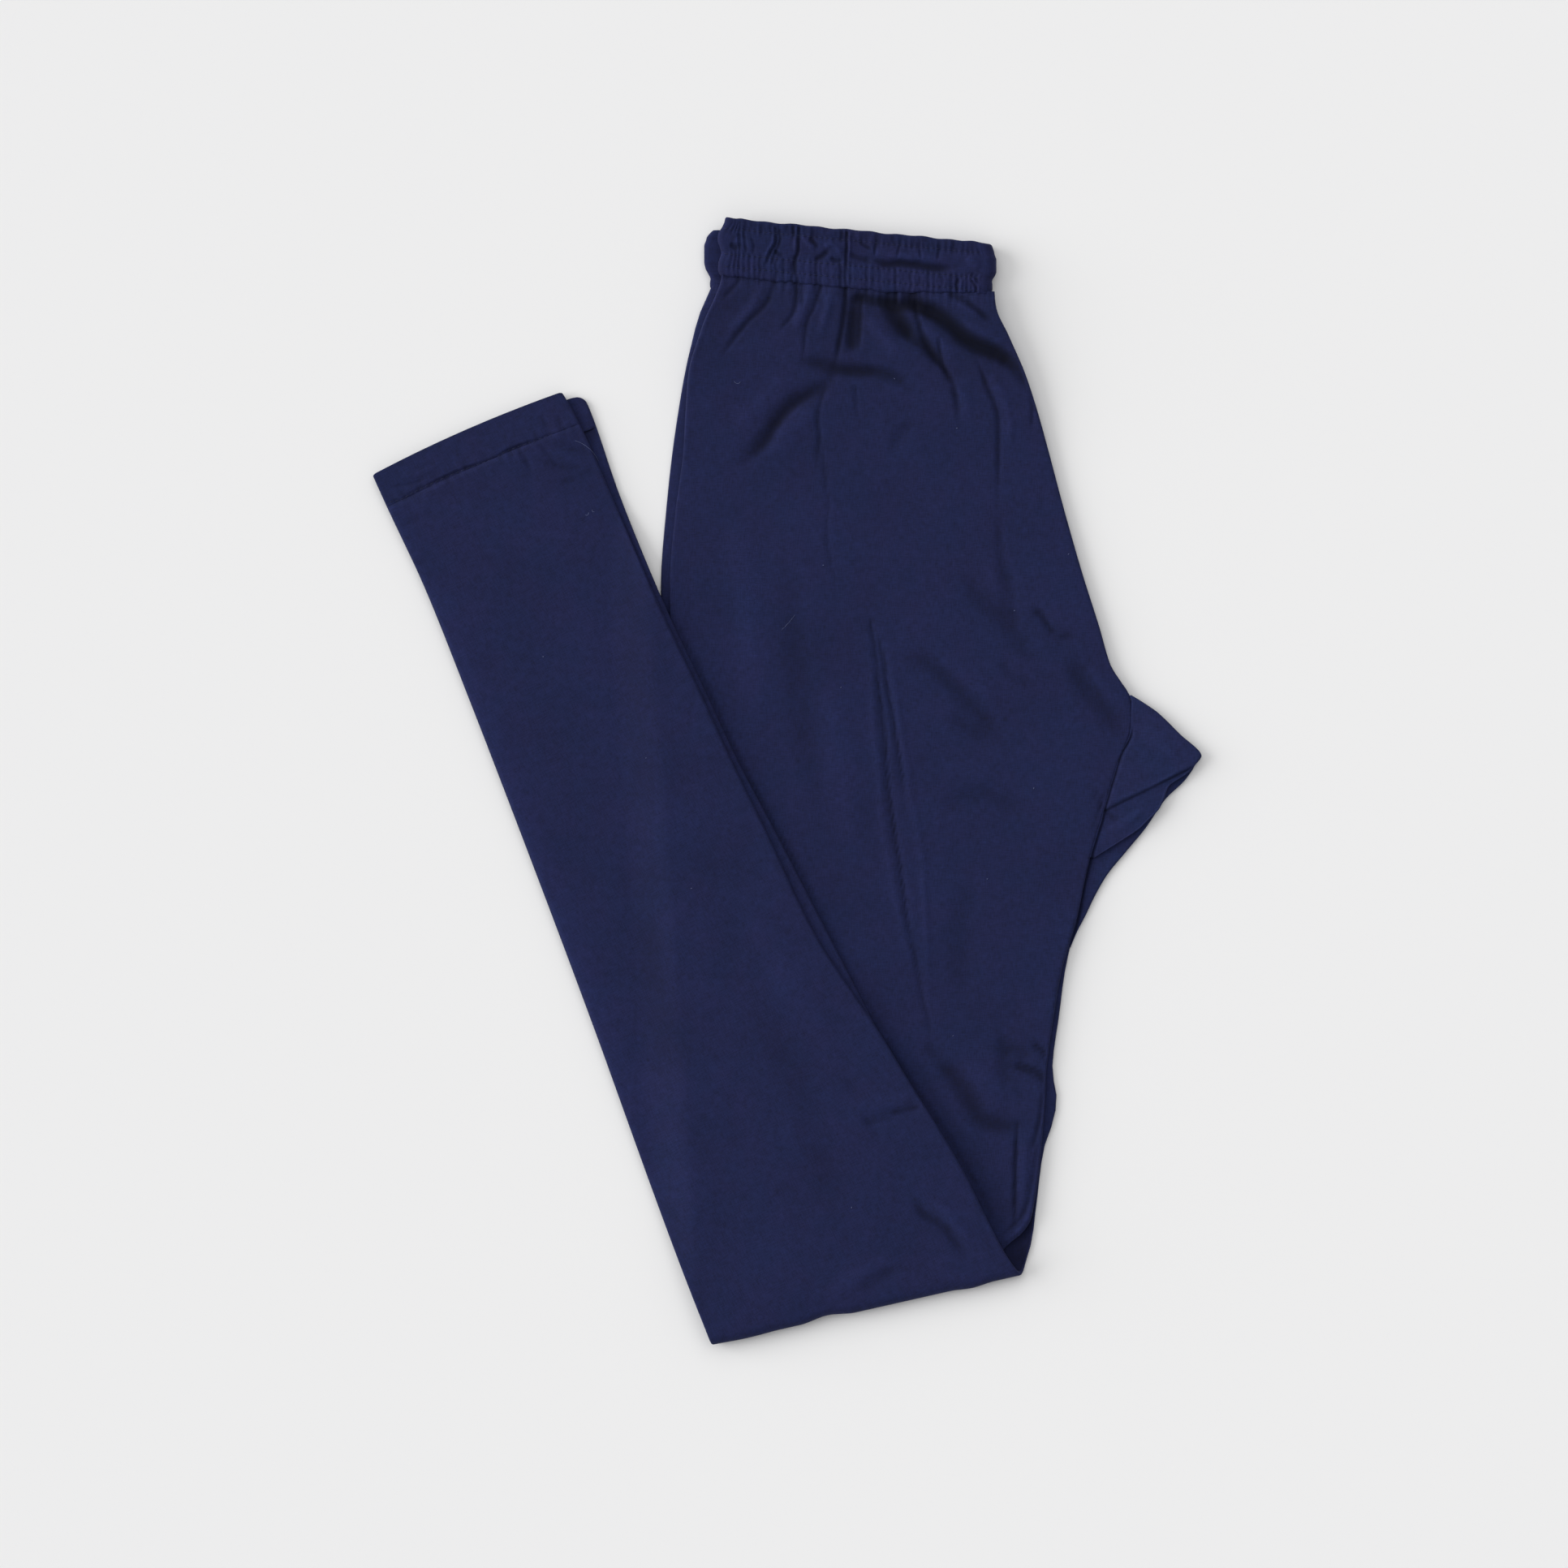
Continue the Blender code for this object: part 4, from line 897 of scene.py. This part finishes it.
GUSSET_OVER_MM = (
    # level, seam, outer edge
    (47.0, 190.6, 191.4),
    (44.0, 191.9, 196.4),
    (37.4, 191.5, 206.0),
    (25.2, 190.8, 218.6),
    (14.4, 185.4, 230.0),
    (8.4, 183.4, 226.8),
    (3.0, 181.9, 221.4),
    (-3.0, 180.0, 212.6),
    (-10.0, 178.0, 209.6),
    (-16.2, 176.2, 206.6),
    (-22.0, 174.9, 201.0),
    (-27.4, 173.2, 195.2),
    (-33.3, 171.4, 186.4),
    (-39.2, 169.6, 177.0),
    (-43.0, 168.6, 171.0),
)
GUSSET_UNDER_MM = (
    # level, seam, outer edge
    (44.0, 191.9, 194.6),
    (25.2, 190.8, 216.0),
    (12.0, 184.8, 227.0),
    (0.9, 181.4, 222.0),
    (-10.4, 177.8, 210.6),
    (-26.6, 173.4, 199.4),
    (-39.2, 169.6, 189.0),
    (-51.8, 166.4, 178.6),
    (-63.0, 163.8, 171.9),
    (-75.6, 161.6, 165.8),
    (-84.0, 159.6, 161.4),
    (-93.0, 157.2, 157.6),
)
GUSSET_FLAP_LEVEL = -12.6 * MM
GUSSET_FLAP_X = 184.5 * MM
GUSSET_FLAP_SLOPE = 0.494
GUSSET_FLAP_STEP = 1.1 * MM
GUSSET_TUCK = 0.9 * MM
GUSSET_SINK = 1.3 * MM
GUSSET_SINK_FROM = 34.0
GUSSET_FOLDS = (
    # height, half width, share at its start, then the x and y of its points
    (0.35, 2.0, 0.6, 181, -11, 194, -7, 204, -3, 214, 3, 225, 11),
    (-0.5, 3.0, 0.3, 176, -16, 180, -20, 186, -22),
    (0.4, 4.0, 0.3, 176, -30, 188, -24, 200, -14),
    (-0.4, 3.0, 0.3, 182, 16, 188, 20, 192, 30),
    (0.4, 7.0, 0.0, 196, 30, 208, 20, 218, 12),
)
gusset_cotton = cotton("gusset_cotton", (0.0122, 0.0190, 0.0700), (0.0146, 0.0184, 0.0690))


def make_gusset(name, rows_mm, low, stepped):
    levels = np.linspace(rows_mm[0][0], rows_mm[-1][0], 90)
    rows = []
    flats = []
    depths = []
    for level in levels:
        left = float(read_table(rows_mm, 1, level)) * MM - GUSSET_TUCK
        right = float(read_table(rows_mm, 2, level)) * MM
        width = max(right - left, 1.2 * MM)
        place, share = section(12, 48, min(EDGE_ROUND / width, 0.42))
        x = left + width * place
        y = np.full_like(x, level * MM)
        height = low + LEG_PRESSED * share
        edge_y = GUSSET_FLAP_LEVEL + GUSSET_FLAP_SLOPE * (x - GUSSET_FLAP_X)
        sink = GUSSET_SINK * float(smooth((GUSSET_SINK_FROM - level) / 16.0))
        raised = -sink * (1.0 - smooth((x - left - GUSSET_TUCK) / (2.2 * MM)))
        if stepped:
            step = GUSSET_FLAP_STEP * (1.0 - smooth((y - edge_y) / (1.3 * MM) + 0.5))
            # Painted shade under the flap's edge: it darkens the relief attribute only, and the
            # step is left out of that attribute.
            painted_flap_shade = 1.0 - smooth(np.abs(y - edge_y + 0.6 * MM) / (1.2 * MM))
            raised = raised + fold_height(GUSSET_FOLDS, x, y) - step
            dark = raised + step - 1.2 * MM * painted_flap_shade
        else:
            dark = raised
        height += np.where(share == 1.0, raised, 0.0)
        depths.append(np.where(share == 1.0, dark, 0.0))
        rows.append(np.stack([x, y, height], axis=-1))
        flats.append(np.stack([np.where(share > 0.5, x, -x), y], axis=-1))
    points = np.array(rows)
    faces = ring_faces(*points.shape[:2])
    size = points.shape[1]
    faces.append(list(range(size))[::-1])
    faces.append([(len(levels) - 1) * size + i for i in range(size)])
    piece = add_cloth(name, points, faces, np.array(flats), np.array(depths), 0.0)
    piece.data.materials.append(gusset_cotton)
    return piece


OVER_LOW = LEG_PRESSED + LAYER_GAP
gusset_over = make_gusset("gusset_over_cloth", GUSSET_OVER_MM, OVER_LOW, True)
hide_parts("gusset_over")
gusset_under = make_gusset("gusset_under_cloth", GUSSET_UNDER_MM, 0.0, False)
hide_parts("gusset_under")


# The hems. Each leg ends in a turned hem, a pressed open tube, sewn down with one row of
# stitches a thumb's width from its edge.

HEM_CORNERS = {"over_hem": 6.0 * MM, "under_hem": 1.4 * MM}
HEM_STITCH_IN = 1.3
hem_cotton = cotton("hem_cotton", (0.0112, 0.0162, 0.0625), (0.0130, 0.0158, 0.0615))


THREAD_RADIUS = 0.2 * MM
STITCH_LENGTH = 2.2 * MM
STITCH_PITCH = 3.1 * MM
STITCH_SIDES = 6
STITCH_RINGS = ((0.0, 0.35), (0.15, 0.9), (0.5, 1.0), (0.85, 0.9), (1.0, 0.35))
THREAD_COLOUR = (0.0150, 0.0195, 0.0640)
THREAD_DARK = (0.0075, 0.0105, 0.0400)


def make_thread():
    """Navy sewing thread: fine twisted strands, with painted shade between the turns."""
    material = bpy.data.materials.new("navy_thread")
    material.use_nodes = True
    nodes, links = material.node_tree.nodes, material.node_tree.links
    shader = nodes["Principled BSDF"]
    shader.inputs["Specular IOR Level"].default_value = 0.25
    shader.inputs["Roughness"].default_value = 0.6
    place = nodes.new("ShaderNodeTexCoord")
    twist = nodes.new("ShaderNodeTexWave")
    twist.wave_type = "BANDS"
    twist.bands_direction = "DIAGONAL"
    twist.inputs["Scale"].default_value = 900.0
    twist.inputs["Distortion"].default_value = 1.5
    links.new(place.outputs["Object"], twist.inputs["Vector"])
    strands = nodes.new("ShaderNodeMix")
    strands.data_type = "RGBA"
    strands.inputs["A"].default_value = (*THREAD_DARK, 1.0)
    strands.inputs["B"].default_value = (*THREAD_COLOUR, 1.0)
    links.new(twist.outputs["Fac"], strands.inputs["Factor"])
    links.new(strands.outputs["Result"], shader.inputs["Base Color"])
    raised = nodes.new("ShaderNodeBump")
    raised.inputs["Strength"].default_value = 0.5
    raised.inputs["Distance"].default_value = 0.00005
    links.new(twist.outputs["Fac"], raised.inputs["Height"])
    links.new(raised.outputs[0], shader.inputs["Normal"])
    return material


def cloth_surface(piece):
    """The piece's surface, to be felt from above or below."""
    mesh = piece.data
    points = [vertex.co[:] for vertex in mesh.vertices]
    return BVHTree.FromPolygons(points, [face.vertices[:] for face in mesh.polygons])


def feel(surface, x, y, side):
    """The height of a surface at a place, felt from above (1) or below (-1)."""
    hit = surface.ray_cast((x, y, side * 0.1), (0.0, 0.0, -float(side)))[0]
    return None if hit is None else hit[2]


def add_tube(points, faces, path, radii, sides):
    """A closed tube of these radii along a path, added to lists of points and faces."""
    first = len(points)
    for index, (spot, radius) in enumerate(zip(path, radii)):
        ahead = path[min(index + 1, len(path) - 1)] - path[max(index - 1, 0)]
        across = np.cross(ahead, (0.0, 0.0, 1.0))
        across /= np.linalg.norm(across)
        over = np.cross(across, ahead)
        over /= np.linalg.norm(over)
        for turn in np.arange(sides) * 2.0 * math.pi / sides:
            points.append(spot + radius * (math.cos(turn) * across + math.sin(turn) * over))
    for ring in range(len(path) - 1):
        start = first + ring * sides
        for i in range(sides):
            j = (i + 1) % sides
            faces.append([start + i, start + j, start + j + sides, start + i + sides])
    faces.append([first + i for i in range(sides)][::-1])
    faces.append([first + (len(path) - 1) * sides + i for i in range(sides)])


def sew(name, surface, rows, material):
    """Rows of stitches on a surface: each row is a path of x and y, and its side."""
    points, faces = [], []
    for path, side in rows:
        path = np.array(path, float)
        runs = np.hypot(*np.diff(path, axis=0).T)
        starts = np.concatenate([[0.0], np.cumsum(runs)])
        for start in np.arange(0.6 * STITCH_PITCH, starts[-1] - STITCH_PITCH, STITCH_PITCH):
            spots, radii = [], []
            for part, thick in STITCH_RINGS:
                at = start + part * STITCH_LENGTH
                x, y = (np.interp(at, starts, path[:, axis]) for axis in (0, 1))
                height = feel(surface, x, y, side)
                if height is None:
                    break
                lift = THREAD_RADIUS * (0.9 * math.sin(math.pi * part) - 0.25)
                spots.append(np.array((x, y, height + side * lift)))
                radii.append(THREAD_RADIUS * thick)
            if len(spots) == len(STITCH_RINGS):
                add_tube(points, faces, spots, radii, STITCH_SIDES)
    mesh = bpy.data.meshes.new(name)
    mesh.from_pydata(np.array(points).tolist(), [], faces)
    mesh.shade_smooth()
    mesh.materials.append(material)
    piece = bpy.data.objects.new(name, mesh)
    bpy.context.scene.collection.objects.link(piece)
    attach(piece, "root")
    return piece


navy_thread = make_thread()


# The stitches wander where they show, and the cloth puckers along them.
HEM_LINE = (-222, 154, -214, 155.5, -206, 160, -185.5, 169.5, -163, 178, -155, 182.5,
            -142.5, 187, -134.5, 190, -119, 195.5)
HEM_FOLDS = (
    # height, half width, share at its start, then the x and y of its points
    (-0.35, 1.6, 1.0, *HEM_LINE),
    (-0.5, 1.8, 0.0, -201, 162, -192, 166.5, -180, 172, -168, 176.5),
    (-0.5, 1.8, 0.0, -160, 180, -150, 184.5, -138, 189),
    (-0.5, 1.5, 0.0, -127, 203, -126, 199, -124, 195),
    (-0.4, 1.5, 0.0, -137, 203, -134, 199, -133, 194),
    (-0.4, 1.6, 0.2, -219, 163, -209, 164, -198, 168),
    (0.3, 2.5, 0.0, -216, 168, -204, 170, -190, 176),
)


def hem_relief(x, y, share, place):
    beyond = past_fold(x, y)
    folded_x = x - 2.0 * beyond * FOLD_OUT[0]
    folded_y = y - 2.0 * beyond * FOLD_OUT[1]
    raised = fold_height(HEM_FOLDS, folded_x, folded_y)
    return np.where(share == 0.0, raised, 0.0), np.zeros_like(x)


for name, node, over, end_level, under in (
    ("over_hem_cloth", "over_hem", True, OVER_END_LEVEL, "pale_surface"),
    ("under_hem_cloth", "under_hem", False, UNDER_END_LEVEL, "over_hem"),
):
    levels = np.linspace(end_level + HEM_LENGTH / MM, end_level, 40)
    points, flats, raised = leg_skin(levels, 90, 90, over, hem_relief, HEM_CORNERS[node])
    hem = add_cloth(name, points, ring_faces(*points.shape[:2]), flats, raised, CLOTH)
    hem.data.materials.append(hem_cotton)
    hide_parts(node)
    left_x, left_y, right_x, right_y = cut_ends(levels[0] - HEM_STITCH_IN, over)
    across = np.linspace(0.015, 0.985, 40)
    cut_x, cut_y = left_x + (right_x - left_x) * across, left_y + (right_y - left_y) * across
    row = fold_up(cut_x, cut_y, np.zeros(40), np.zeros(40))[:, :2]
    shown = row if over else fold_path(HEM_LINE)
    rows = [(shown, 1), (row, -1)]
    stitches = sew(node + "_stitches", cloth_surface(hem), rows, navy_thread)


# The waistband. It is a casing over wide elastic, sewn with three rows of stitches and gathered
# all round, and it lies folded in four with the legs.

BAND_PITCH = 3.0 * MM
BAND_WALL = 2.7 * MM
UNDER_BAND_SHIFT = 6.0 * MM
UNDER_BAND_DROP = 7.0 * MM
STITCH_ROWS = (6.0 * MM, 20.0 * MM, 27.0 * MM)
TOP_LAYER = 3
ROW_STEP = 0.7 * MM
PUCKER = 3.1 * MM

BAND_FOLDS = (
    # height, half width, share at its start, then how far along and how far down from the top
    (-1.5, 3.6, 0.2, 45, 15, 56, 17, 68, 16, 80, 17, 98, 15),
    (-0.9, 3.0, 0.0, 34, 14, 42, 16, 48, 18),
    (0.7, 3.0, 0.3, 46, 11, 60, 12, 76, 12, 92, 11),
    (0.7, 3.0, 0.0, -30, 12, -22, 13, -16, 12),
    (-0.8, 2.0, 0.5, -27, 7, -26, 13, -27, 19),
    (-0.7, 1.6, 0.5, -24, 6, -23, 12, -22, 20),
    (-1.0, 3.0, 0.0, -33, 14, -30, 16, -27, 17),
    (-0.6, 1.6, 0.0, -20, 9, -18, 14, -19, 20),
    (-0.9, 1.5, 0.8, -6, 3, -6, 11, -9, 17, -12, 26),
    (0.7, 1.4, 0.8, -7.5, 3, -7.5, 11, -10.5, 17, -13, 25),
    (-0.7, 1.4, 0.8, -3.5, 4, -3.5, 10, -6, 16, -9, 26),
    (-0.9, 1.8, 0.0, -7, 15, -4, 17, -1, 18),
    (-1.2, 1.6, 0.9, 7, 2, 6.5, 9, 6.5, 15, 4.5, 22, 5.5, 30),
    (0.8, 1.6, 0.8, 5, 3, 5, 10, 4.5, 16),
    (0.9, 2.2, 0.2, 8, 6, 12, 10, 16, 14),
    (-1.0, 2.0, 0.2, 12, 6, 16, 10, 18, 13),
    (-1.1, 2.2, 0.0, 15, 19, 19, 17, 22, 14, 24, 11),
    (0.9, 2.4, 0.0, 20, 11, 25, 9, 29, 12, 31, 16),
    (-0.9, 2.0, 0.0, 24, 16, 28, 18, 32, 17),
    (-1.1, 1.5, 0.9, 33.5, 2, 33.5, 10, 33, 17, 34, 24),
    (0.7, 1.3, 0.8, 35, 3, 35, 10, 34.5, 16),
    (-0.9, 1.8, 0.2, 39, 5, 43, 8, 48, 11),
    (-0.7, 1.5, 0.6, 50, 5, 49, 10, 49, 14),
    (-0.6, 1.4, 0.6, 63, 4, 62, 9, 61, 14),
    (-0.6, 1.3, 0.6, 74, 4, 74, 10, 75, 14),
    (-0.6, 1.4, 0.6, 84, 4, 84, 9, 83, 13),
    (0.8, 4.0, 0.3, 100, 8, 104, 13, 108, 15),
    (-0.8, 2.0, 0.4, 102, 18, 106, 20, 110, 24),
    (-0.8, 1.5, 0.4, 96, 20, 94, 25, 95, 30),
    (0.6, 1.4, 0.4, 98, 20, 97, 26, 99, 31),
    (-0.7, 1.3, 0.4, 103, 21, 107, 26, 106, 30),
)


def band_path(top_count):
    """The casing seen from its top edge: place across, aside, height, outward way and layer."""
    heights = [BAND_WALL * 0.5 + BAND_PITCH * layer for layer in range(4)]
    path = []

    def straight(layer, forward, count, up):
        for part in (np.arange(count) + 0.5) / count:
            path.append((part if forward else 1 - part, 0.0, heights[layer], 0.0, up, layer))

    def turn(right, low, high, downward, count):
        middle = 0.5 * (heights[low] + heights[high])
        radius = 0.5 * (heights[high] - heights[low])
        side = 1.0 if right else -1.0
        outward = -1.0 if (low, high) == (1, 2) else 1.0
        for angle in math.pi * (np.arange(count) + 0.5) / count:
            across = math.sin(angle)
            upward = math.cos(angle) if downward else -math.cos(angle)
            ahead = (side * radius * across, middle + radius * upward)
            away = (outward * side * across, outward * upward)
            path.append((1.0 if right else 0.0, *ahead, *away, 0.5 * (low + high)))

    straight(3, True, top_count, 1.0)
    turn(True, 0, 3, True, 18)
    straight(0, False, 120, -1.0)
    turn(False, 0, 1, False, 8)
    straight(1, True, 60, 1.0)
    turn(True, 1, 2, False, 8)
    straight(2, False, 60, -1.0)
    turn(False, 2, 3, False, 8)
    return path


def band_wall(down, height):
    """Half the casing's wall down its height: rounded at both edges, pinched at each row."""
    top = np.clip(1.0 - down / (2.4 * MM), 0.0, 1.0)
    low = np.clip(1.0 - (height - down) / (2.0 * MM), 0.0, 1.0)
    pinch = sum(1.0 - smooth(np.abs(down - row) / (2.4 * MM)) for row in STITCH_ROWS)
    round_off = np.sqrt(np.clip(1.0 - np.maximum(top, low) ** 2, 0.0, 1.0))
    return 0.5 * BAND_WALL * (0.2 + 0.8 * round_off) - 0.30 * MM * pinch


def band_relief(x, down):
    """Gathers and puffs of a layer that shows, drawn in along each row of stitches."""
    near_row = sum(1.0 - smooth(np.abs(down - row) / (3.0 * MM)) for row in STITCH_ROWS)
    lower = smooth((down - 17.0 * MM) / (5.0 * MM))
    upper = 1.0 - smooth((down - 5.0 * MM) / (5.0 * MM))
    lines = gather_lines(x, 0.3 * MM * np.sin(down / (2.6 * MM)) + 0.08 * (down - 24.0 * MM))
    finer = gather_lines(x + 2.1 * MM, 0.2 * MM * np.sin(down / (2.0 * MM)))
    total = lines * (0.8 * lower + 0.45 * upper) + finer * (0.35 * lower + 0.4 * upper)
    total += 0.45 * MM * lower
    total += fold_height(BAND_FOLDS, x, down) * (1.0 - 0.3 * near_row)
    total += 0.14 * MM * np.cos(2.0 * math.pi * x / PUCKER) * near_row
    total += 0.10 * MM * ripple(x, down * 1.3, 7.0 * MM, 11)
    return total * (0.3 + 0.7 * smooth(down / (2.5 * MM)))


def end_shape(place, down, upper):
    """How far the band's ends wander in and out, as they are pinched and rolled."""
    right = -2.2 * MM * (1.0 - smooth(down / (9.0 * MM)))
    right = right - 2.2 * MM * smooth((down - 15.0 * MM) / (6.0 * MM))
    left = 2.4 * MM + 2.8 * MM * (1.0 - smooth(down / (8.0 * MM)))
    left = left + 0.9 * MM * np.sin(down / (2.5 * MM))
    under = 2.4 * MM * (1.0 - smooth(down / (9.0 * MM)))
    under = under + 1.6 * MM * (1.0 - smooth(down / (4.0 * MM)))
    under = under + 3.2 * MM * smooth((down - 19.0 * MM) / (8.0 * MM))
    left = left * upper + under * (1.0 - upper)
    return right * smooth((place - 0.88) / 0.12) + left * smooth((0.10 - place) / 0.10)


path = band_path(400)
rows = []
flats = []
reliefs = []
travel = 0.0
before = None
for place, aside, height, out_x, out_z, layer in path:
    upper = float(smooth(layer - 1.0)) if layer < TOP_LAYER else 1.0
    left_x = BAND_LEFT - UNDER_BAND_SHIFT * (1.0 - upper)
    x = left_x + (BAND_RIGHT - left_x) * place + aside
    tall = float(band_height(x))
    downs = np.linspace(0.0, tall, round(BAND_HEIGHT / ROW_STEP))
    inner_downs = np.linspace(tall, 0.0, 9)
    top_y = band_top(x) - UNDER_BAND_DROP * (1.0 - upper) * (1.0 - place)
    top_y += 0.25 * MM * math.sin(x / (2.3 * MM)) + 0.2 * MM * math.sin(x / (5.1 * MM))
    out = band_wall(downs, tall)
    relief = np.zeros_like(downs)
    if layer in (0, TOP_LAYER):
        ends = float(smooth(place / 0.015) * smooth((1.0 - place) / 0.015))
        relief = ends * band_relief(np.full_like(downs, x), downs)
        if layer == 0:
            relief = np.minimum(relief, 0.0) * 0.5
    row_x = np.concatenate(
        [x + out_x * (out + relief), x - out_x * band_wall(inner_downs, tall)]
    )
    row_x = row_x + end_shape(place, np.concatenate([downs, inner_downs]), upper)
    row_y = np.concatenate([top_y - downs, top_y - inner_downs])
    row_z = np.concatenate(
        [height + out_z * (out + relief), height - out_z * band_wall(inner_downs, tall)]
    )
    rows.append(np.stack([row_x, row_y, row_z], axis=-1))
    # The relief attribute is a third deeper than the cloth's relief, for stronger painted shade in
    # the gathers.
    reliefs.append(np.concatenate([1.3 * relief, 0.0 * inner_downs]))
    if before is not None:
        travel += math.hypot(x - before[0], height - before[1])
    before = (x, height)
    flats.append(
        np.stack([np.full(len(row_x), travel), np.concatenate([downs, 0.05 + inner_downs])], -1)
    )
points = np.array(rows)
count, size = points.shape[:2]
faces = ring_faces(count, size) + [
    [(count - 1) * size + i, (count - 1) * size + (i + 1) % size, (i + 1) % size, i]
    for i in range(size)
]
waistband = add_cloth(
    "waistband_cloth", points, faces, np.array(flats), np.array(reliefs), 0.0
)
band_cotton = cotton("band_cotton", (0.0098, 0.0148, 0.0595), (0.0122, 0.0145, 0.0588))
waistband.data.materials.append(band_cotton)
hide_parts("waistband")
band_surface = cloth_surface(waistband)
rows = []
for down in STITCH_ROWS:
    x = np.linspace(BAND_LEFT + 0.6 * MM, BAND_RIGHT, 90)
    rows.append((np.stack([x, band_top(x) - down], axis=-1), 1))
    x = np.linspace(BAND_LEFT - UNDER_BAND_SHIFT + 1.0 * MM, BAND_RIGHT, 90)
    part = (x - x[0]) / (x[-1] - x[0])
    y = band_top(x) - UNDER_BAND_DROP * (1.0 - part) - down
    rows.append((np.stack([x, y], axis=-1), -1))
band_stitches = sew("waistband_stitches", band_surface, rows, navy_thread)


# Lint. A few pale cotton fibres and specks lie on the dark cloth, as they do on any such cloth.

LINT_COLOUR = (0.16, 0.19, 0.36)
LINT = (
    # x, y, length, bearing in degrees, bend in degrees, radius in mm
    (-117.3, 188.2, 20.0, -47, -55, 0.10),
    (-3, 83, 13.0, 50, 14, 0.08),
    (-29, 221, 5.0, 10, 150, 0.09),
    (-111.5, 147, 3.4, 60, 170, 0.11),
    (-107.5, 150, 2.6, -30, 190, 0.10),
    (20, 119, 0.9, 20, 0, 0.20),
    (-135, 68, 0.8, 80, 0, 0.20),
    (156, 125, 1.0, 40, 0, 0.16),
    (126, 94, 0.9, 0, 0, 0.20),
    (30, 51, 0.9, 70, 0, 0.16),
    (137, -5, 1.1, 80, 0, 0.18),
    (111, -55, 0.8, 30, 0, 0.18),
    (60, 222, 0.9, 120, 0, 0.16),
    (94, 195, 0.9, 10, 0, 0.18),
    (-53, -60, 0.8, 15, 0, 0.16),
    (36, -237, 1.0, 95, 0, 0.18),
    (92, -142, 0.8, 35, 0, 0.15),
    (-78, 12, 0.7, 60, 0, 0.15),
)
LINT_STEPS = 9
LINT_SIDES = 5

cloth_surfaces = [cloth_surface(piece) for piece in (under_leg, over_leg, gusset_over)]
points, faces = [], []
for x, y, length, bearing, bend, radius in LINT:
    spot = np.array((x, y)) * MM
    turn = math.radians(bearing - 0.5 * bend)
    path = []
    for _ in range(LINT_STEPS):
        heights = [feel(surface, *spot, 1) for surface in cloth_surfaces]
        height = max(value for value in heights if value is not None)
        path.append(np.array((*spot, height + 0.7 * radius * MM)))
        spot = spot + np.array((math.cos(turn), math.sin(turn))) * length * MM / LINT_STEPS
        turn += math.radians(bend / LINT_STEPS)
    radii = radius * MM * np.sin(np.linspace(0.25, math.pi - 0.25, LINT_STEPS)) ** 0.4
    add_tube(points, faces, path, radii, LINT_SIDES)
mesh = bpy.data.meshes.new("lint_fibres")
mesh.from_pydata(np.array(points).tolist(), [], faces)
mesh.shade_smooth()
lint = bpy.data.objects.new("lint_fibres", mesh)
bpy.context.scene.collection.objects.link(lint)
lint_cotton = bpy.data.materials.new("pale_lint")
lint_cotton.use_nodes = True
nodes, links = lint_cotton.node_tree.nodes, lint_cotton.node_tree.links
shader = nodes["Principled BSDF"]
shader.inputs["Roughness"].default_value = 0.9
shader.inputs["Specular IOR Level"].default_value = 0.1
place = nodes.new("ShaderNodeTexCoord")
fluff = nodes.new("ShaderNodeTexNoise")
fluff.inputs["Scale"].default_value = 1500.0
links.new(place.outputs["Object"], fluff.inputs["Vector"])
tone = nodes.new("ShaderNodeMix")
tone.data_type = "RGBA"
tone.inputs["A"].default_value = (*(0.45 * value for value in LINT_COLOUR), 1.0)
tone.inputs["B"].default_value = (*LINT_COLOUR, 1.0)
links.new(fluff.outputs[0], tone.inputs["Factor"])
links.new(tone.outputs["Result"], shader.inputs["Base Color"])
mesh.materials.append(lint_cotton)
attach(lint, "root")
